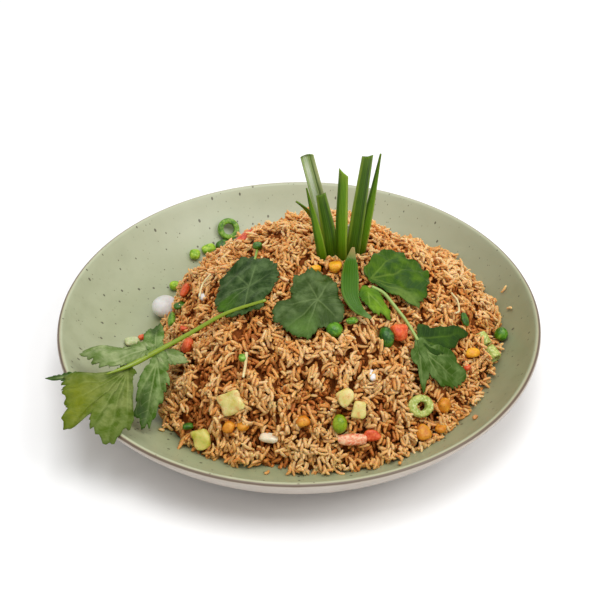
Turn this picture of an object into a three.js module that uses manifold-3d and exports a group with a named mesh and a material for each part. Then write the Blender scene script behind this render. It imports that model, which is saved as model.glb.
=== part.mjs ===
// A heap of fried rice in a shallow coupe bowl, garnished with blades of leek and sprigs of parsley.
// Millimetres, +Z up. The origin is on the table under the middle of the bowl, and -Y is the front.

import * as THREE from "three";
import { mergeVertices } from "three/addons/utils/BufferGeometryUtils.js";
import Module from "manifold-3d";

const wasm = await Module();
wasm.setup();

// Bowl
const BOWL_RADIUS = 140;
const BOWL_HEIGHT = 38;
const FLOOR_RADIUS = 85; // where the flat floor starts to turn up
const FLOOR_TOP = 7;
const FLOOR_THICKNESS = 5;
const WALL_LEAN = 56; // degrees from level, at the lip
const LIP_RADIUS = 2;
const FOOT_RADIUS = 82;
const FOOT_WIDTH = 4;
const BOWL_SIDES = 48;
const WALL_STEPS = 7;
const LIP_STEPS = 4;

// Heap of rice
const HEAP_X = 17;
const HEAP_Y = 5;
const HEAP_REACH_X = 102;
const HEAP_REACH_Y = 106;
const HEAP_HEIGHT = 69; // above its foot
const HEAP_FULLNESS = 2.6; // higher is a flatter crown with steeper sides
const HEAP_EDGE = 2.5; // one grain thick where it runs out
const HEAP_RINGS = 20;

// Where the foot of the heap runs out further or stops short, by direction in degrees
const HEAP_SPURS = [
  { turn: -136, spread: 20, out: 13 },
  { turn: -34, spread: 26, out: -6 },
  { turn: 174, spread: 14, out: -2 },
];

// Shoulders and hollows of the heap
const HEAP_SWELLS = [
  { x: 98, y: 24, radius: 20, rise: 8 },
  { x: -70, y: 36, radius: 20, rise: 11 },
  { x: -42, y: -58, radius: 22, rise: 3 },
  { x: 50, y: -66, radius: 16, rise: -4 },
  { x: 70, y: 60, radius: 26, rise: -4 },
];

// Cooked long grain
const GRAIN_LENGTH = 7.5;
const GRAIN_WIDTH = 2.8;
const GRAIN_RELIEF = 1.6;
const GRAIN_COUNT = 1500;

const GAP = 0.3; // between pieces that touch
const LEAF_THICKNESS = 0.8;
const LEVEL_FALL = 0.1; // drop for each millimetre out, along a level leaflet
const HANGING_FALL = 0.84;
const LEAF_LIFT = 3.4; // a leaf's upper face above the rice
const BLADE_THICKNESS = 1.1;
const BLADE_STATIONS = 9;
const RING_SIDES = 12;
const SOLID_TOLERANCE = 0.04;
const SEAM = 1e-4;

const radians = THREE.MathUtils.degToRad;
const mix = THREE.MathUtils.lerp;
const clamp = THREE.MathUtils.clamp;
const bell = (x) => Math.exp(-x * x);
const vector = (x, y, z) => new THREE.Vector3(x, y, z);

// The same seed always gives the same numbers, each from 0 to 1.
function seededRandom(seed) {
  let state = seed;
  return () => {
    state = (state * 1664525 + 1013904223) % 4294967296;
    return state / 4294967296;
  };
}

// Closed bodies

// A shape with its seams closed: each corner is one point
function seamless(geometry) {
  const bare = geometry.clone();
  bare.deleteAttribute("normal");
  bare.deleteAttribute("uv");
  return mergeVertices(bare, SEAM);
}

function bodyOf(geometry) {
  const merged = seamless(geometry);
  return new wasm.Manifold(
    new wasm.Mesh({
      numProp: 3,
      vertProperties: merged.attributes.position.array,
      triVerts: new Uint32Array(merged.index.array),
    }),
  );
}

// The largest piece of a cut body, with the slivers of the cut smoothed away
function geometryOf(body) {
  const pieces = body.simplify(SOLID_TOLERANCE).decompose();
  const largest = pieces.reduce((a, b) => (a.volume() > b.volume() ? a : b));
  const mesh = largest.getMesh();
  const geometry = new THREE.BufferGeometry();
  geometry.setAttribute("position", new THREE.BufferAttribute(mesh.vertProperties, 3));
  geometry.setIndex(new THREE.BufferAttribute(mesh.triVerts, 1));
  return geometry;
}

// A closed mesh from its points and triangles, turned to face outwards
function closedGeometry(points, triangles) {
  let volume = 0;
  for (const [a, b, c] of triangles) {
    volume += points[a].dot(points[b].clone().cross(points[c]));
  }
  const order = volume < 0 ? triangles.map(([a, b, c]) => [a, c, b]) : triangles;
  const geometry = new THREE.BufferGeometry().setFromPoints(points);
  geometry.setIndex(order.flat());
  return geometry;
}

// A band of triangles between two rings that may have different numbers of points
function stitch(triangles, ringA, ringB) {
  let a = 0;
  let b = 0;
  while (a < ringA.length || b < ringB.length) {
    const fromA = ringA[a % ringA.length];
    const fromB = ringB[b % ringB.length];
    if ((a + 1) / ringA.length < (b + 1) / ringB.length) {
      triangles.push([fromA, fromB, ringA[(a + 1) % ringA.length]]);
      a += 1;
    } else {
      triangles.push([fromA, fromB, ringB[(b + 1) % ringB.length]]);
      b += 1;
    }
  }
}

// A closed body through a row of like sections, with a fan over each end
function loft(sections) {
  const points = [];
  const triangles = [];
  const rings = sections.map((section) =>
    section.map((point) => points.push(point) - 1),
  );
  for (let i = 1; i < rings.length; i += 1) {
    stitch(triangles, rings[i - 1], rings[i]);
  }
  const fan = (ring, section, outward) => {
    const middle = section.reduce((sum, point) => sum.add(point), vector(0, 0, 0));
    const hub = points.push(middle.divideScalar(section.length)) - 1;
    ring.forEach((corner, i) => {
      const next = ring[(i + 1) % ring.length];
      triangles.push(outward ? [hub, corner, next] : [hub, next, corner]);
    });
  };
  fan(rings[0], sections[0], true);
  fan(rings.at(-1), sections.at(-1), false);
  return closedGeometry(points, triangles);
}

// A copy of a piece that stands clear of it all round, to cut its place out of the rice
function swollen(geometry, by) {
  const grown = seamless(geometry);
  grown.computeVertexNormals();
  const position = grown.attributes.position;
  const normal = grown.attributes.normal;
  for (let i = 0; i < position.count; i += 1) {
    position.setXYZ(
      i,
      position.getX(i) + by * normal.getX(i),
      position.getY(i) + by * normal.getY(i),
      position.getZ(i) + by * normal.getZ(i),
    );
  }
  return bodyOf(grown);
}

// Bowl

const lean = radians(WALL_LEAN);
const LIP_X = BOWL_RADIUS - LIP_RADIUS;
const LIP_Z = BOWL_HEIGHT - LIP_RADIUS;
const WALL_END_X = LIP_X - LIP_RADIUS * Math.sin(lean);
const WALL_END_Z = LIP_Z + LIP_RADIUS * Math.cos(lean);
const WALL_RUN = WALL_END_X - FLOOR_RADIUS;
const WALL_RISE = WALL_END_Z - FLOOR_TOP;
const WALL_POWER = (Math.tan(lean) * WALL_RUN) / WALL_RISE;

// Height of the bowl's inside at a distance from its axis
function insideHeight(radius) {
  const t = clamp((radius - FLOOR_RADIUS) / WALL_RUN, 0, 1);
  return FLOOR_TOP + WALL_RISE * t ** WALL_POWER;
}

function bowlGeometry() {
  const profile = [new THREE.Vector2(0, FLOOR_TOP), new THREE.Vector2(FLOOR_RADIUS * 0.6, FLOOR_TOP)];
  const outside = [];
  for (let i = 0; i <= WALL_STEPS; i += 1) {
    const t = i / WALL_STEPS;
    const radius = FLOOR_RADIUS + WALL_RUN * t;
    const slope = Math.atan((WALL_RISE * WALL_POWER * t ** (WALL_POWER - 1)) / WALL_RUN);
    const thickness = mix(FLOOR_THICKNESS, 2 * LIP_RADIUS, t);
    const height = insideHeight(radius);
    profile.push(new THREE.Vector2(radius, height));
    outside.unshift(
      new THREE.Vector2(radius + thickness * Math.sin(slope), height - thickness * Math.cos(slope)),
    );
  }
  for (let i = 1; i < LIP_STEPS; i += 1) {
    const turn = lean + Math.PI * (0.5 - i / LIP_STEPS);
    profile.push(
      new THREE.Vector2(LIP_X + LIP_RADIUS * Math.cos(turn), LIP_Z + LIP_RADIUS * Math.sin(turn)),
    );
  }
  const underside = FLOOR_TOP - FLOOR_THICKNESS;
  profile.push(
    ...outside,
    new THREE.Vector2(FOOT_RADIUS, 0),
    new THREE.Vector2(FOOT_RADIUS - FOOT_WIDTH, 0),
    new THREE.Vector2(FOOT_RADIUS - FOOT_WIDTH - 1, underside),
    new THREE.Vector2(0, underside),
  );
  const turned = new THREE.LatheGeometry(profile.reverse(), BOWL_SIDES);
  return seamless(turned.rotateX(Math.PI / 2));
}

// Heap of rice

function heapReach(turn) {
  let reach = 1 / Math.hypot(Math.cos(turn) / HEAP_REACH_X, Math.sin(turn) / HEAP_REACH_Y);
  for (const spur of HEAP_SPURS) {
    const apart = turn - radians(spur.turn);
    const wrapped = Math.atan2(Math.sin(apart), Math.cos(apart));
    reach += spur.out * bell(wrapped / radians(spur.spread));
  }
  return reach;
}

// How far out a point of the plan is: 0 at the heap's middle, 1 at its foot
function heapShare(x, y) {
  const turn = Math.atan2(y - HEAP_Y, x - HEAP_X);
  return Math.hypot(x - HEAP_X, y - HEAP_Y) / heapReach(turn);
}

// Height of the heap over the plan, without its grains, or of the bowl beside it
function heapTop(x, y) {
  const foot = insideHeight(Math.hypot(x, y));
  const share = heapShare(x, y);
  if (share >= 1) {
    return foot;
  }
  const rise = HEAP_HEIGHT * (1 - share ** HEAP_FULLNESS);
  const fade = 1 - share ** 6;
  let uneven = 1.5 * Math.sin(x / 9 + 1.3) * Math.sin(y / 11 + 0.4);
  uneven += 0.9 * Math.sin(x / 5.3 - y / 6.1);
  for (const swell of HEAP_SWELLS) {
    uneven += swell.rise * bell(Math.hypot(x - swell.x, y - swell.y) / swell.radius);
  }
  return mix(FLOOR_TOP, foot, share * share) + HEAP_EDGE + rise + fade * uneven;
}

function heapNormal(x, y) {
  const step = 3;
  const slopeX = (heapTop(x + step, y) - heapTop(x - step, y)) / (2 * step);
  const slopeY = (heapTop(x, y + step) - heapTop(x, y - step)) / (2 * step);
  return vector(-slopeX, -slopeY, 1).normalize();
}

const grains = [];
const grainRandom = seededRandom(11);
for (let i = 0; i < GRAIN_COUNT; i += 1) {
  const turn = 2 * Math.PI * grainRandom();
  const share = Math.sqrt(grainRandom());
  grains.push({
    x: HEAP_X + HEAP_REACH_X * share * Math.cos(turn),
    y: HEAP_Y + HEAP_REACH_Y * share * Math.sin(turn),
    yaw: Math.PI * grainRandom(),
    size: 0.6 + 0.4 * grainRandom(),
  });
}

// The grain that stands highest over a point gives the bump there
function grainRelief(x, y) {
  let relief = 0;
  for (const grain of grains) {
    const dx = x - grain.x;
    const dy = y - grain.y;
    const along = (dx * Math.cos(grain.yaw) + dy * Math.sin(grain.yaw)) / (GRAIN_LENGTH / 2);
    const across = (dy * Math.cos(grain.yaw) - dx * Math.sin(grain.yaw)) / (GRAIN_WIDTH / 2);
    const inside = 1 - along * along - across * across;
    if (inside > 0) {
      relief = Math.max(relief, grain.size * Math.sqrt(inside));
    }
  }
  return GRAIN_RELIEF * (2 * relief - 1);
}

function heapGeometry() {
  const points = [];
  const triangles = [];
  const ringAt = (share, count, height) => {
    const ring = [];
    for (let i = 0; i < count; i += 1) {
      const turn = (2 * Math.PI * i) / count;
      const reach = share * heapReach(turn);
      const x = HEAP_X + reach * Math.cos(turn);
      const y = HEAP_Y + reach * Math.sin(turn);
      ring.push(points.push(vector(x, y, height(x, y))) - 1);
    }
    return ring;
  };
  const upper = (x, y) => heapTop(x, y) + grainRelief(x, y);
  const edge = (x, y) => insideHeight(Math.hypot(x, y)) + HEAP_EDGE;
  const lower = (x, y) => insideHeight(Math.hypot(x, y)) + 2 * GAP;
  const fan = (ring, hub, upwards) => {
    ring.forEach((corner, i) => {
      const next = ring[(i + 1) % ring.length];
      triangles.push(upwards ? [hub, corner, next] : [hub, next, corner]);
    });
  };
  let inner = ringAt(1 / HEAP_RINGS, 6, upper);
  fan(inner, points.push(vector(HEAP_X, HEAP_Y, upper(HEAP_X, HEAP_Y))) - 1, true);
  for (let k = 2; k <= HEAP_RINGS; k += 1) {
    const outer = ringAt(k / HEAP_RINGS, 6 * k, k === HEAP_RINGS ? edge : upper);
    stitch(triangles, inner, outer);
    inner = outer;
  }
  for (const [share, count] of [[1, 6 * HEAP_RINGS], [0.9, 60], [0.78, 36], [0.5, 12]]) {
    const below = ringAt(share, count, lower);
    stitch(triangles, inner, below);
    inner = below;
  }
  fan(inner, points.push(vector(HEAP_X, HEAP_Y, lower(HEAP_X, HEAP_Y))) - 1, false);
  return closedGeometry(points, triangles);
}

// Pieces that lie in or on the rice

// A ball of 80 faces pulled towards a block, uneven by a seeded share
function chunk({ size, square = 0, uneven = 0.06, seed = 1 }) {
  const ball = seamless(new THREE.IcosahedronGeometry(1, 1));
  const position = ball.attributes.position;
  const random = seededRandom(seed);
  const pull = (value) => Math.sign(value) * Math.abs(value) ** (1 - square);
  for (let i = 0; i < position.count; i += 1) {
    const jitter = 1 + uneven * (2 * random() - 1);
    position.setXYZ(
      i,
      (pull(position.getX(i)) * jitter * size[0]) / 2,
      (pull(position.getY(i)) * jitter * size[1]) / 2,
      (pull(position.getZ(i)) * jitter * size[2]) / 2,
    );
  }
  return ball;
}

// A slice across a spring onion: a short tube
function onionRing({ outer, inner, height }) {
  const half = height / 2;
  const bevel = (outer - inner) * 0.25;
  const section = [
    new THREE.Vector2(inner, -half),
    new THREE.Vector2(outer - bevel, -half),
    new THREE.Vector2(outer, 0),
    new THREE.Vector2(outer - bevel, half),
    new THREE.Vector2(inner, half),
    new THREE.Vector2(inner, -half),
  ];
  const ring = new THREE.LatheGeometry(section, RING_SIDES);
  return seamless(ring.rotateX(Math.PI / 2));
}

// Laid at a place on the heap: its own up turned to the slope, sunk by a depth, and clear of the bowl
function settled(geometry, { x, y, yaw = 0, tip = 0, sink = 0 }) {
  const laid = geometry.clone();
  laid.rotateX(radians(tip));
  laid.rotateZ(radians(yaw));
  const up = heapNormal(x, y);
  laid.applyQuaternion(new THREE.Quaternion().setFromUnitVectors(vector(0, 0, 1), up));
  const seat = vector(x, y, heapTop(x, y)).addScaledVector(up, -sink);
  laid.translate(seat.x, seat.y, seat.z);
  const position = laid.attributes.position;
  let lift = 0;
  for (let i = 0; i < position.count; i += 1) {
    const floor = insideHeight(Math.hypot(position.getX(i), position.getY(i)));
    lift = Math.max(lift, floor + 2 * GAP - position.getZ(i));
  }
  laid.translate(0, 0, lift);
  return laid;
}

// A blade of leek: a strip with a channel along it, from its foot to its cut or pointed end
function blade({ path, widths, facing, curl = 0.22, slant = 0 }) {
  const curve = new THREE.CatmullRomCurve3(path.map((point) => vector(...point)));
  const sections = [];
  for (let i = 0; i < BLADE_STATIONS; i += 1) {
    const t = i / (BLADE_STATIONS - 1);
    const along = curve.getTangentAt(t);
    const step = t * (widths.length - 1);
    const leg = Math.min(Math.floor(step), widths.length - 2);
    const width = mix(widths[leg], widths[leg + 1], step - leg);
    const turn = radians(mix(facing[0], facing[1], t));
    const aim = vector(Math.cos(turn), Math.sin(turn), 0);
    const across = aim.addScaledVector(along, -aim.dot(along)).normalize();
    const outward = across.clone().cross(along).normalize();
    const middle = curve.getPointAt(t);
    const face = (shift) =>
      [-1, -0.35, 0.35, 1].map((u) =>
        middle
          .clone()
          .addScaledVector(across, (u * width) / 2)
          .addScaledVector(outward, shift + curl * width * (1 - u * u))
          .addScaledVector(along, slant * width * u * t ** 8),
      );
    sections.push([...face(BLADE_THICKNESS / 2), ...face(-BLADE_THICKNESS / 2).reverse()]);
  }
  return loft(sections);
}

// A round stalk that tapers from its first point to its last
function stalk(path, thick, thin, sides = 6, stations = 9) {
  const curve = new THREE.CatmullRomCurve3(path.map((point) => vector(...point)));
  const sections = [];
  for (let i = 0; i < stations; i += 1) {
    const t = i / (stations - 1);
    const along = curve.getTangentAt(t);
    const across = vector(0, 0, 1).cross(along).normalize();
    const upward = along.clone().cross(across);
    const radius = mix(thick, thin, t) / 2;
    const section = [];
    for (let k = 0; k < sides; k += 1) {
      const turn = (2 * Math.PI * k) / sides;
      section.push(
        curve
          .getPointAt(t)
          .addScaledVector(across, radius * Math.cos(turn))
          .addScaledVector(upward, radius * Math.sin(turn)),
      );
    }
    sections.push(section);
  }
  return loft(sections);
}

// A leaf as a thin wavy sheet: spokes fan out from its stalk, each as far as its lobe goes.
// cover gives the height of the upper face over the plan, and both faces have the same triangles.
function leaf({ base, lobes, heart = 4, spokes, rings = 2, ripple = 0.7, cover }) {
  const points = [];
  const triangles = [];
  const edgeAt = (turn) =>
    lobes.reduce((reach, [towards, length, spread]) => {
      const apart = turn - radians(towards);
      const off = Math.atan2(Math.sin(apart), Math.cos(apart)) / radians(spread);
      return Math.max(reach, length * Math.sqrt(Math.max(0, 1 - off * off)));
    }, heart);
  const place = (share, turn) => {
    const reach = share * edgeAt(turn);
    const x = base[0] + reach * Math.cos(turn);
    const y = base[1] + reach * Math.sin(turn);
    const wave = ripple * share * Math.sin(5 * turn + 2 * share);
    return vector(x, y, cover(x, y) + wave);
  };
  const grid = (drop) => {
    const layers = [[points.push(place(0, 0).add(vector(0, 0, -drop))) - 1]];
    for (let k = 1; k <= rings; k += 1) {
      const layer = [];
      for (let i = 0; i < spokes; i += 1) {
        const turn = (2 * Math.PI * i) / spokes;
        layer.push(points.push(place(k / rings, turn).add(vector(0, 0, -drop))) - 1);
      }
      layers.push(layer);
    }
    return layers;
  };
  const upper = grid(0);
  const lower = grid(LEAF_THICKNESS);
  for (const [layers, upwards] of [[upper, true], [lower, false]]) {
    const facing = (a, b, c) => triangles.push(upwards ? [a, b, c] : [a, c, b]);
    for (let i = 0; i < spokes; i += 1) {
      const next = (i + 1) % spokes;
      facing(layers[0][0], layers[1][i], layers[1][next]);
      for (let k = 1; k < rings; k += 1) {
        facing(layers[k][i], layers[k + 1][i], layers[k + 1][next]);
        facing(layers[k][i], layers[k + 1][next], layers[k][next]);
      }
    }
  }
  stitch(triangles, upper[rings], lower[rings]);
  return closedGeometry(points, triangles);
}

const overRice = (lift = LEAF_LIFT) => (x, y) => heapTop(x, y) + lift;
const onRice = (lift, places) => places.map(([x, y]) => [x, y, heapTop(x, y) + lift]);

// A cover that stays nearly level from its stalk, but drops where a leaflet hangs towards the front
const hangingFrom = (base) => (x, y) => {
  const away = Math.hypot(x - base[0], y - base[1]);
  const front = clamp((base[1] - y) / Math.max(away, 1), 0, 1);
  return base[2] - away * mix(LEVEL_FALL, HANGING_FALL, front * front);
};

function joined(geometries) {
  return geometryOf(geometries.map(bodyOf).reduce((sum, body) => sum.add(body)));
}

// Blades of leek planted in the crown, seen from the front: foot first, end last
const BLADES = {
  leek_back: {
    path: [[20, 10, 68], [14.5, 11, 98], [5.6, 11.5, 139]],
    widths: [7, 7.5, 7.4], facing: [180, 180], curl: 0.2, slant: 0,
  },
  leek_front: {
    path: [[19, 4, 68], [17.5, 3.2, 92], [13, 3, 119.7]],
    widths: [8, 7, 5.4], facing: [0, 0], curl: 0.2, slant: 0.1,
  },
  leek_sliver: {
    path: [[15, 0, 69], [11.5, 0.5, 93], [5.2, 2.5, 124]],
    widths: [4.5, 3.8, 0.9], facing: [8, 8], curl: 0.12, slant: 0,
  },
  leek_short: {
    path: [[24.9, 2.2, 68], [24.6, 2.2, 100], [25.4, 2.5, 134]],
    widths: [3.4, 6, 5.2], facing: [-6, -6], curl: 0.16, slant: -0.5,
  },
  leek_tall: {
    path: [[29.8, 4, 69], [33.6, 3.4, 104], [38.2, 2.5, 144.5]],
    widths: [6.2, 7, 6], facing: [4, 4], curl: 0.2, slant: 0.1,
  },
  leek_ribbon: {
    path: [[34.2, 9, 68], [39.5, 8.5, 100], [45.6, 8, 142]],
    widths: [5, 4, 1], facing: [10, 10], curl: 0.12, slant: 0,
  },
  leek_pale: {
    path: [[25.6, 10.5, 68], [27, 11.5, 80], [28.6, 12.5, 92]],
    widths: [3.6, 3.2, 1.8], facing: [20, 20], curl: 0.15, slant: 0.4,
  },
  leek_chip: {
    path: [[9.5, 50, 71], [5, 50, 77.5], [-0.7, 50, 83]],
    widths: [4.5, 3.6, 1], facing: [150, 150], curl: 0.1, slant: 0,
  },
  leek_fold: {
    path: [[31, -3.4, 88], [29.6, -9, 82.5], [28.6, -22, 81], [28.6, -34, 78], [32.4, -42, 74.5], [39.4, -46.6, 71.6]],
    widths: [1.6, 7.2, 8.6, 8.6, 6.4, 1.6], facing: [0, 35], curl: 0.12, slant: 0,
  },
};

// Toppings: what each is, where it lies on the heap and how it lies
const CHUNKS = {
  pea_centre: { size: [9.2, 9.2, 9], x: 19.1, y: -49.5, sink: -1.6, kind: "pea" },
  pea_shade: { size: [8.4, 10.6, 8.2], x: 47.6, y: -48, yaw: 20, sink: -0.6, kind: "pea" },
  pea_front: { size: [8.8, 9.6, 8.6], x: 21.4, y: -86.6, sink: -1.2, kind: "pea" },
  pea_edge: { size: [8.4, 8.4, 8.2], x: 118.5, y: -3, sink: -3.6, kind: "pea" },
  corn_crown: { size: [7.6, 6.6, 6.4], x: 21, y: -10.5, sink: -1.8, square: 0.2, kind: "corn" },
  corn_right: { size: [6.6, 5.8, 5.4], x: 98, y: -26.5, yaw: 40, sink: -0.8, square: 0.2, kind: "corn" },
  corn_low: { size: [6.4, 5.6, 5], x: 79.5, y: -63.4, yaw: 70, sink: -0.6, square: 0.2, kind: "corn" },
  corn_front_right: { size: [8.4, 7, 5.6], x: 67, y: -80.6, yaw: 120, sink: -0.8, square: 0.2, kind: "corn" },
  corn_front: { size: [6.4, 5.4, 5], x: 1.6, y: -85.1, yaw: 15, sink: -0.6, square: 0.2, kind: "corn" },
  corn_front_left: { size: [6.4, 5.4, 5], x: -38.7, y: -81.7, yaw: 60, sink: -0.6, square: 0.2, kind: "corn" },
  carrot_back: { size: [12.5, 6.4, 4.4], x: -30.5, y: 40, yaw: 28, sink: -0.9, square: 0.35, kind: "carrot" },
  carrot_left: { size: [8.6, 5.2, 4.2], x: -67, y: 24, yaw: 40, sink: -0.8, square: 0.35, kind: "carrot" },
  carrot_under_stem: { size: [8.6, 7, 5], x: -63.1, y: -27, yaw: 60, sink: -0.5, square: 0.35, kind: "carrot" },
  carrot_right: { size: [8.4, 7.4, 6], x: 54.8, y: -43.4, yaw: 15, sink: -0.8, square: 0.3, kind: "carrot" },
  carrot_front: { size: [9, 8.4, 4], x: 38.2, y: -89.2, yaw: 10, sink: -1.2, square: 0.2, kind: "carrot" },
  pink_flake: { size: [11.5, 5.6, 4], x: 27.8, y: -91.8, yaw: 2, sink: -1.2, square: 0.3, kind: "flake" },
  bulb_white: { size: [17, 16.4, 14], x: -82, y: 38.5, sink: -6, kind: "bulb", uneven: 0.02 },
  cabbage_rim: { size: [8.4, 6.2, 3.4], x: -100.5, y: 10, yaw: 25, sink: -1.6, square: 0.3, kind: "cabbage" },
  cabbage_left: { size: [11.5, 12.4, 4], x: -36.9, y: -73.6, yaw: 12, sink: -1.0, square: 0.45, kind: "cabbage" },
  cabbage_low: { size: [9, 11, 4], x: -53.9, y: -81.6, yaw: 12, sink: -1.2, square: 0.45, kind: "cabbage" },
  cabbage_front: { size: [8.6, 8, 3.6], x: 24.4, y: -77.2, yaw: 40, sink: -1.0, square: 0.4, kind: "cabbage" },
  cabbage_front_right: { size: [7, 9, 3.6], x: 31.8, y: -81.7, yaw: -10, sink: -1.0, square: 0.4, kind: "cabbage" },
  onion_back_dark: { size: [9, 7, 5.6], x: -49, y: 100.5, yaw: 30, sink: -2.4, square: 0.3, kind: "green" },
  onion_back_light: { size: [9.4, 6, 5], x: -58, y: 96.6, yaw: 30, sink: -2.2, square: 0.3, kind: "green" },
  onion_back_low: { size: [7, 7, 5], x: -66.5, y: 90.5, yaw: 10, sink: -2.2, square: 0.3, kind: "green" },
  onion_left: { size: [6.4, 6, 5], x: -78, y: 63.5, yaw: 20, sink: -2.2, square: 0.3, kind: "green" },
  onion_slab: { size: [5.6, 11.4, 2.8], x: -74.5, y: 13, yaw: 8, sink: -1.4, square: 0.5, kind: "green" },
  leaf_scrap: { size: [6, 8.6, 2.4], x: 94.9, y: -11.4, yaw: 20, sink: -0.8, square: 0.3, kind: "green" },
};

const RINGS = {
  ring_right: { outer: 7.1, inner: 2.9, height: 3.2, x: 66, y: -70.4, tip: 4, sink: -0.7 },
  ring_back: { outer: 7.2, inner: 3.6, height: 4.2, x: -45.5, y: 111, tip: 12, sink: -3.4 },
  tube_upper: { outer: 3.7, inner: 1.7, height: 7.4, x: 105.4, y: -13.1, tip: 74, yaw: 35, sink: -1.6 },
  tube_lower: { outer: 4.1, inner: 2, height: 7.8, x: 110, y: -18, tip: 70, yaw: 30, sink: -2.6 },
};

// Parsley: plan directions in degrees, lengths in millimetres, half widths in degrees
const LEAVES = {
  leaf_left: [
    leaf({
      base: [-27.5, -16.5], spokes: 30, cover: overRice(),
      lobes: [[15, 17, 42], [70, 25, 40], [125, 25, 38], [172, 21, 34], [-150, 18, 34], [-105, 14, 38], [-45, 15, 40]],
    }),
    stalk(onRice(LEAF_LIFT - 0.4, [[-25, 1], [-24, 9], [-23.6, 17]]), 1.6, 1.4, 5, 4),
    chunkAt([4.8, 4.8, 5], onRice(LEAF_LIFT, [[-23.6, 19]])[0]),
  ],
  leaf_middle: [
    leaf({
      base: [10.5, -35.5], spokes: 32, cover: overRice(3.8),
      lobes: [[-172, 25, 30], [-136, 23, 34], [-104, 18, 30], [-36, 15, 38], [20, 13, 48], [86, 20, 42], [125, 18, 34]],
    }),
  ],
  leaf_right: [
    leaf({
      base: [38.7, -19.4], heart: 1.8, spokes: 32, cover: overRice(3.8),
      lobes: [[52, 33, 30], [29, 41, 25], [11, 35, 22]],
    }),
  ],
  leaf_folded: [
    leaf({
      base: [37.5, -30], heart: 2, spokes: 18, cover: overRice(),
      lobes: [[-44, 18, 22], [-66, 15, 20]],
    }),
  ],
  sprig_right: [
    stalk(onRice(4, [[40.6, -23.8], [47, -26], [52.7, -31.2], [58.8, -37], [62.6, -42.4], [65.2, -46.6]]), 2.2, 1.8),
    leaf({
      base: [64.2, -44.2], heart: 2.4, spokes: 36, cover: overRice(4.4),
      lobes: [[34, 40, 16], [22, 26, 20], [-9, 29, 20], [-40, 22, 22], [-80, 22, 16]],
    }),
  ],
  sprig_left: [
    stalk(
      [[-17.9, -33.8, 74], [-40.5, -32, 63], [-61.9, -36.6, 53], [-80, -43, 45.6], [-96, -50.5, 41.2]],
      2.2, 3.2, 6, 8,
    ),
    leaf({
      base: [-94, -49.5], heart: 3, spokes: 40, cover: () => 40.4,
      lobes: [[-167, 36, 17], [-162, 45, 8], [-146, 47, 17], [-126, 57, 16], [-104, 55, 17], [-88, 47, 12]],
    }),
    leaf({
      base: [-79, -42.4], heart: 2.4, spokes: 40, cover: hangingFrom([-79, -42.4, 46]),
      lobes: [[178, 44, 20], [152, 28, 22], [100, 29, 24], [-8, 19, 28], [-102, 31, 26], [-80, 28, 26]],
    }),
  ],
};

function chunkAt(size, at) {
  const piece = chunk({ size, uneven: 0 });
  piece.translate(...at);
  return piece;
}

// Colours and finishes
const finish = (colour, roughness) =>
  new THREE.MeshStandardMaterial({ color: colour, roughness, metalness: 0 });
const FINISHES = {
  glaze: finish("#b4bb98", 0.32),
  rice: finish("#b98a55", 0.6),
  leek: finish("#547d20", 0.42),
  parsley: finish("#4c6d38", 0.55),
  pea: finish("#4c8a1c", 0.3),
  corn: finish("#e0a83a", 0.35),
  carrot: finish("#d8643a", 0.4),
  flake: finish("#e0a084", 0.45),
  bulb: finish("#dfdcd0", 0.3),
  cabbage: finish("#cdc985", 0.4),
  green: finish("#8db33c", 0.4),
};

const part = new THREE.Group();

function addPiece(name, geometry, slot) {
  const mesh = new THREE.Mesh(geometry, FINISHES[slot]);
  mesh.name = name;
  part.add(mesh);
}

// The pieces that sit in the rice, then the rice with their places cut out of it
const seated = [];

for (const [name, shape] of Object.entries(BLADES)) {
  seated.push([name, blade(shape), "leek"]);
}
let seed = 20;
for (const [name, shape] of Object.entries(CHUNKS)) {
  seed += 1;
  seated.push([name, settled(chunk({ ...shape, seed }), shape), shape.kind]);
}
for (const [name, shape] of Object.entries(RINGS)) {
  seated.push([name, settled(onionRing(shape), shape), "green"]);
}
for (const [name, pieces] of Object.entries(LEAVES)) {
  seated.push([name, joined(pieces), "parsley"]);
}

let heap = bodyOf(heapGeometry());
for (const [name, geometry, slot] of seated) {
  heap = heap.subtract(swollen(geometry, GAP));
  addPiece(name, geometryOf(bodyOf(geometry)), slot);
}
addPiece("bowl", geometryOf(bodyOf(bowlGeometry())), "glaze");
addPiece("rice", geometryOf(heap), "rice");

export default part;
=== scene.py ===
# A heap of fried rice in a shallow glazed bowl, with leek blades, parsley and bits of vegetable on it.
# Shapes are worked out in millimetres and made into meshes in metres. +Z is up and -Y is the front.

import math

import bmesh
import bpy
import numpy as np
from mathutils import Matrix, Vector
from mathutils.bvhtree import BVHTree


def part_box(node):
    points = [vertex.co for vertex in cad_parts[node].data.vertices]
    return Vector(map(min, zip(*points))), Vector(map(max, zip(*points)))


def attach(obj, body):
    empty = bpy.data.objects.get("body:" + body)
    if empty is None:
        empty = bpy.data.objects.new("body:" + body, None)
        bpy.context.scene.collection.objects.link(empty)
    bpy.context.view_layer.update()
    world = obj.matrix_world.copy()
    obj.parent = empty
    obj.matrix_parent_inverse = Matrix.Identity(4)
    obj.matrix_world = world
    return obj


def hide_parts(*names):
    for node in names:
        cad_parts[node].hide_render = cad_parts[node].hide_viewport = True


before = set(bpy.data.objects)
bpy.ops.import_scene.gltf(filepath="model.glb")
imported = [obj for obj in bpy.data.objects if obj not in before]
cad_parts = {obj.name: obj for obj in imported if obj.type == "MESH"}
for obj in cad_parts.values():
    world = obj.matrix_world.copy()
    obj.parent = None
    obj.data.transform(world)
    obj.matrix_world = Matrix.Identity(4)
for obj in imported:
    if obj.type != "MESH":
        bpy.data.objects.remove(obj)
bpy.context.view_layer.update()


# Bowl
# A shallow coupe bowl of stoneware, turned on a wheel, with an upturned wall and a low foot ring.
# A sage glaze with iron specks lies inside and breaks brown over the lip. The outside is a plain cream.

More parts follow.
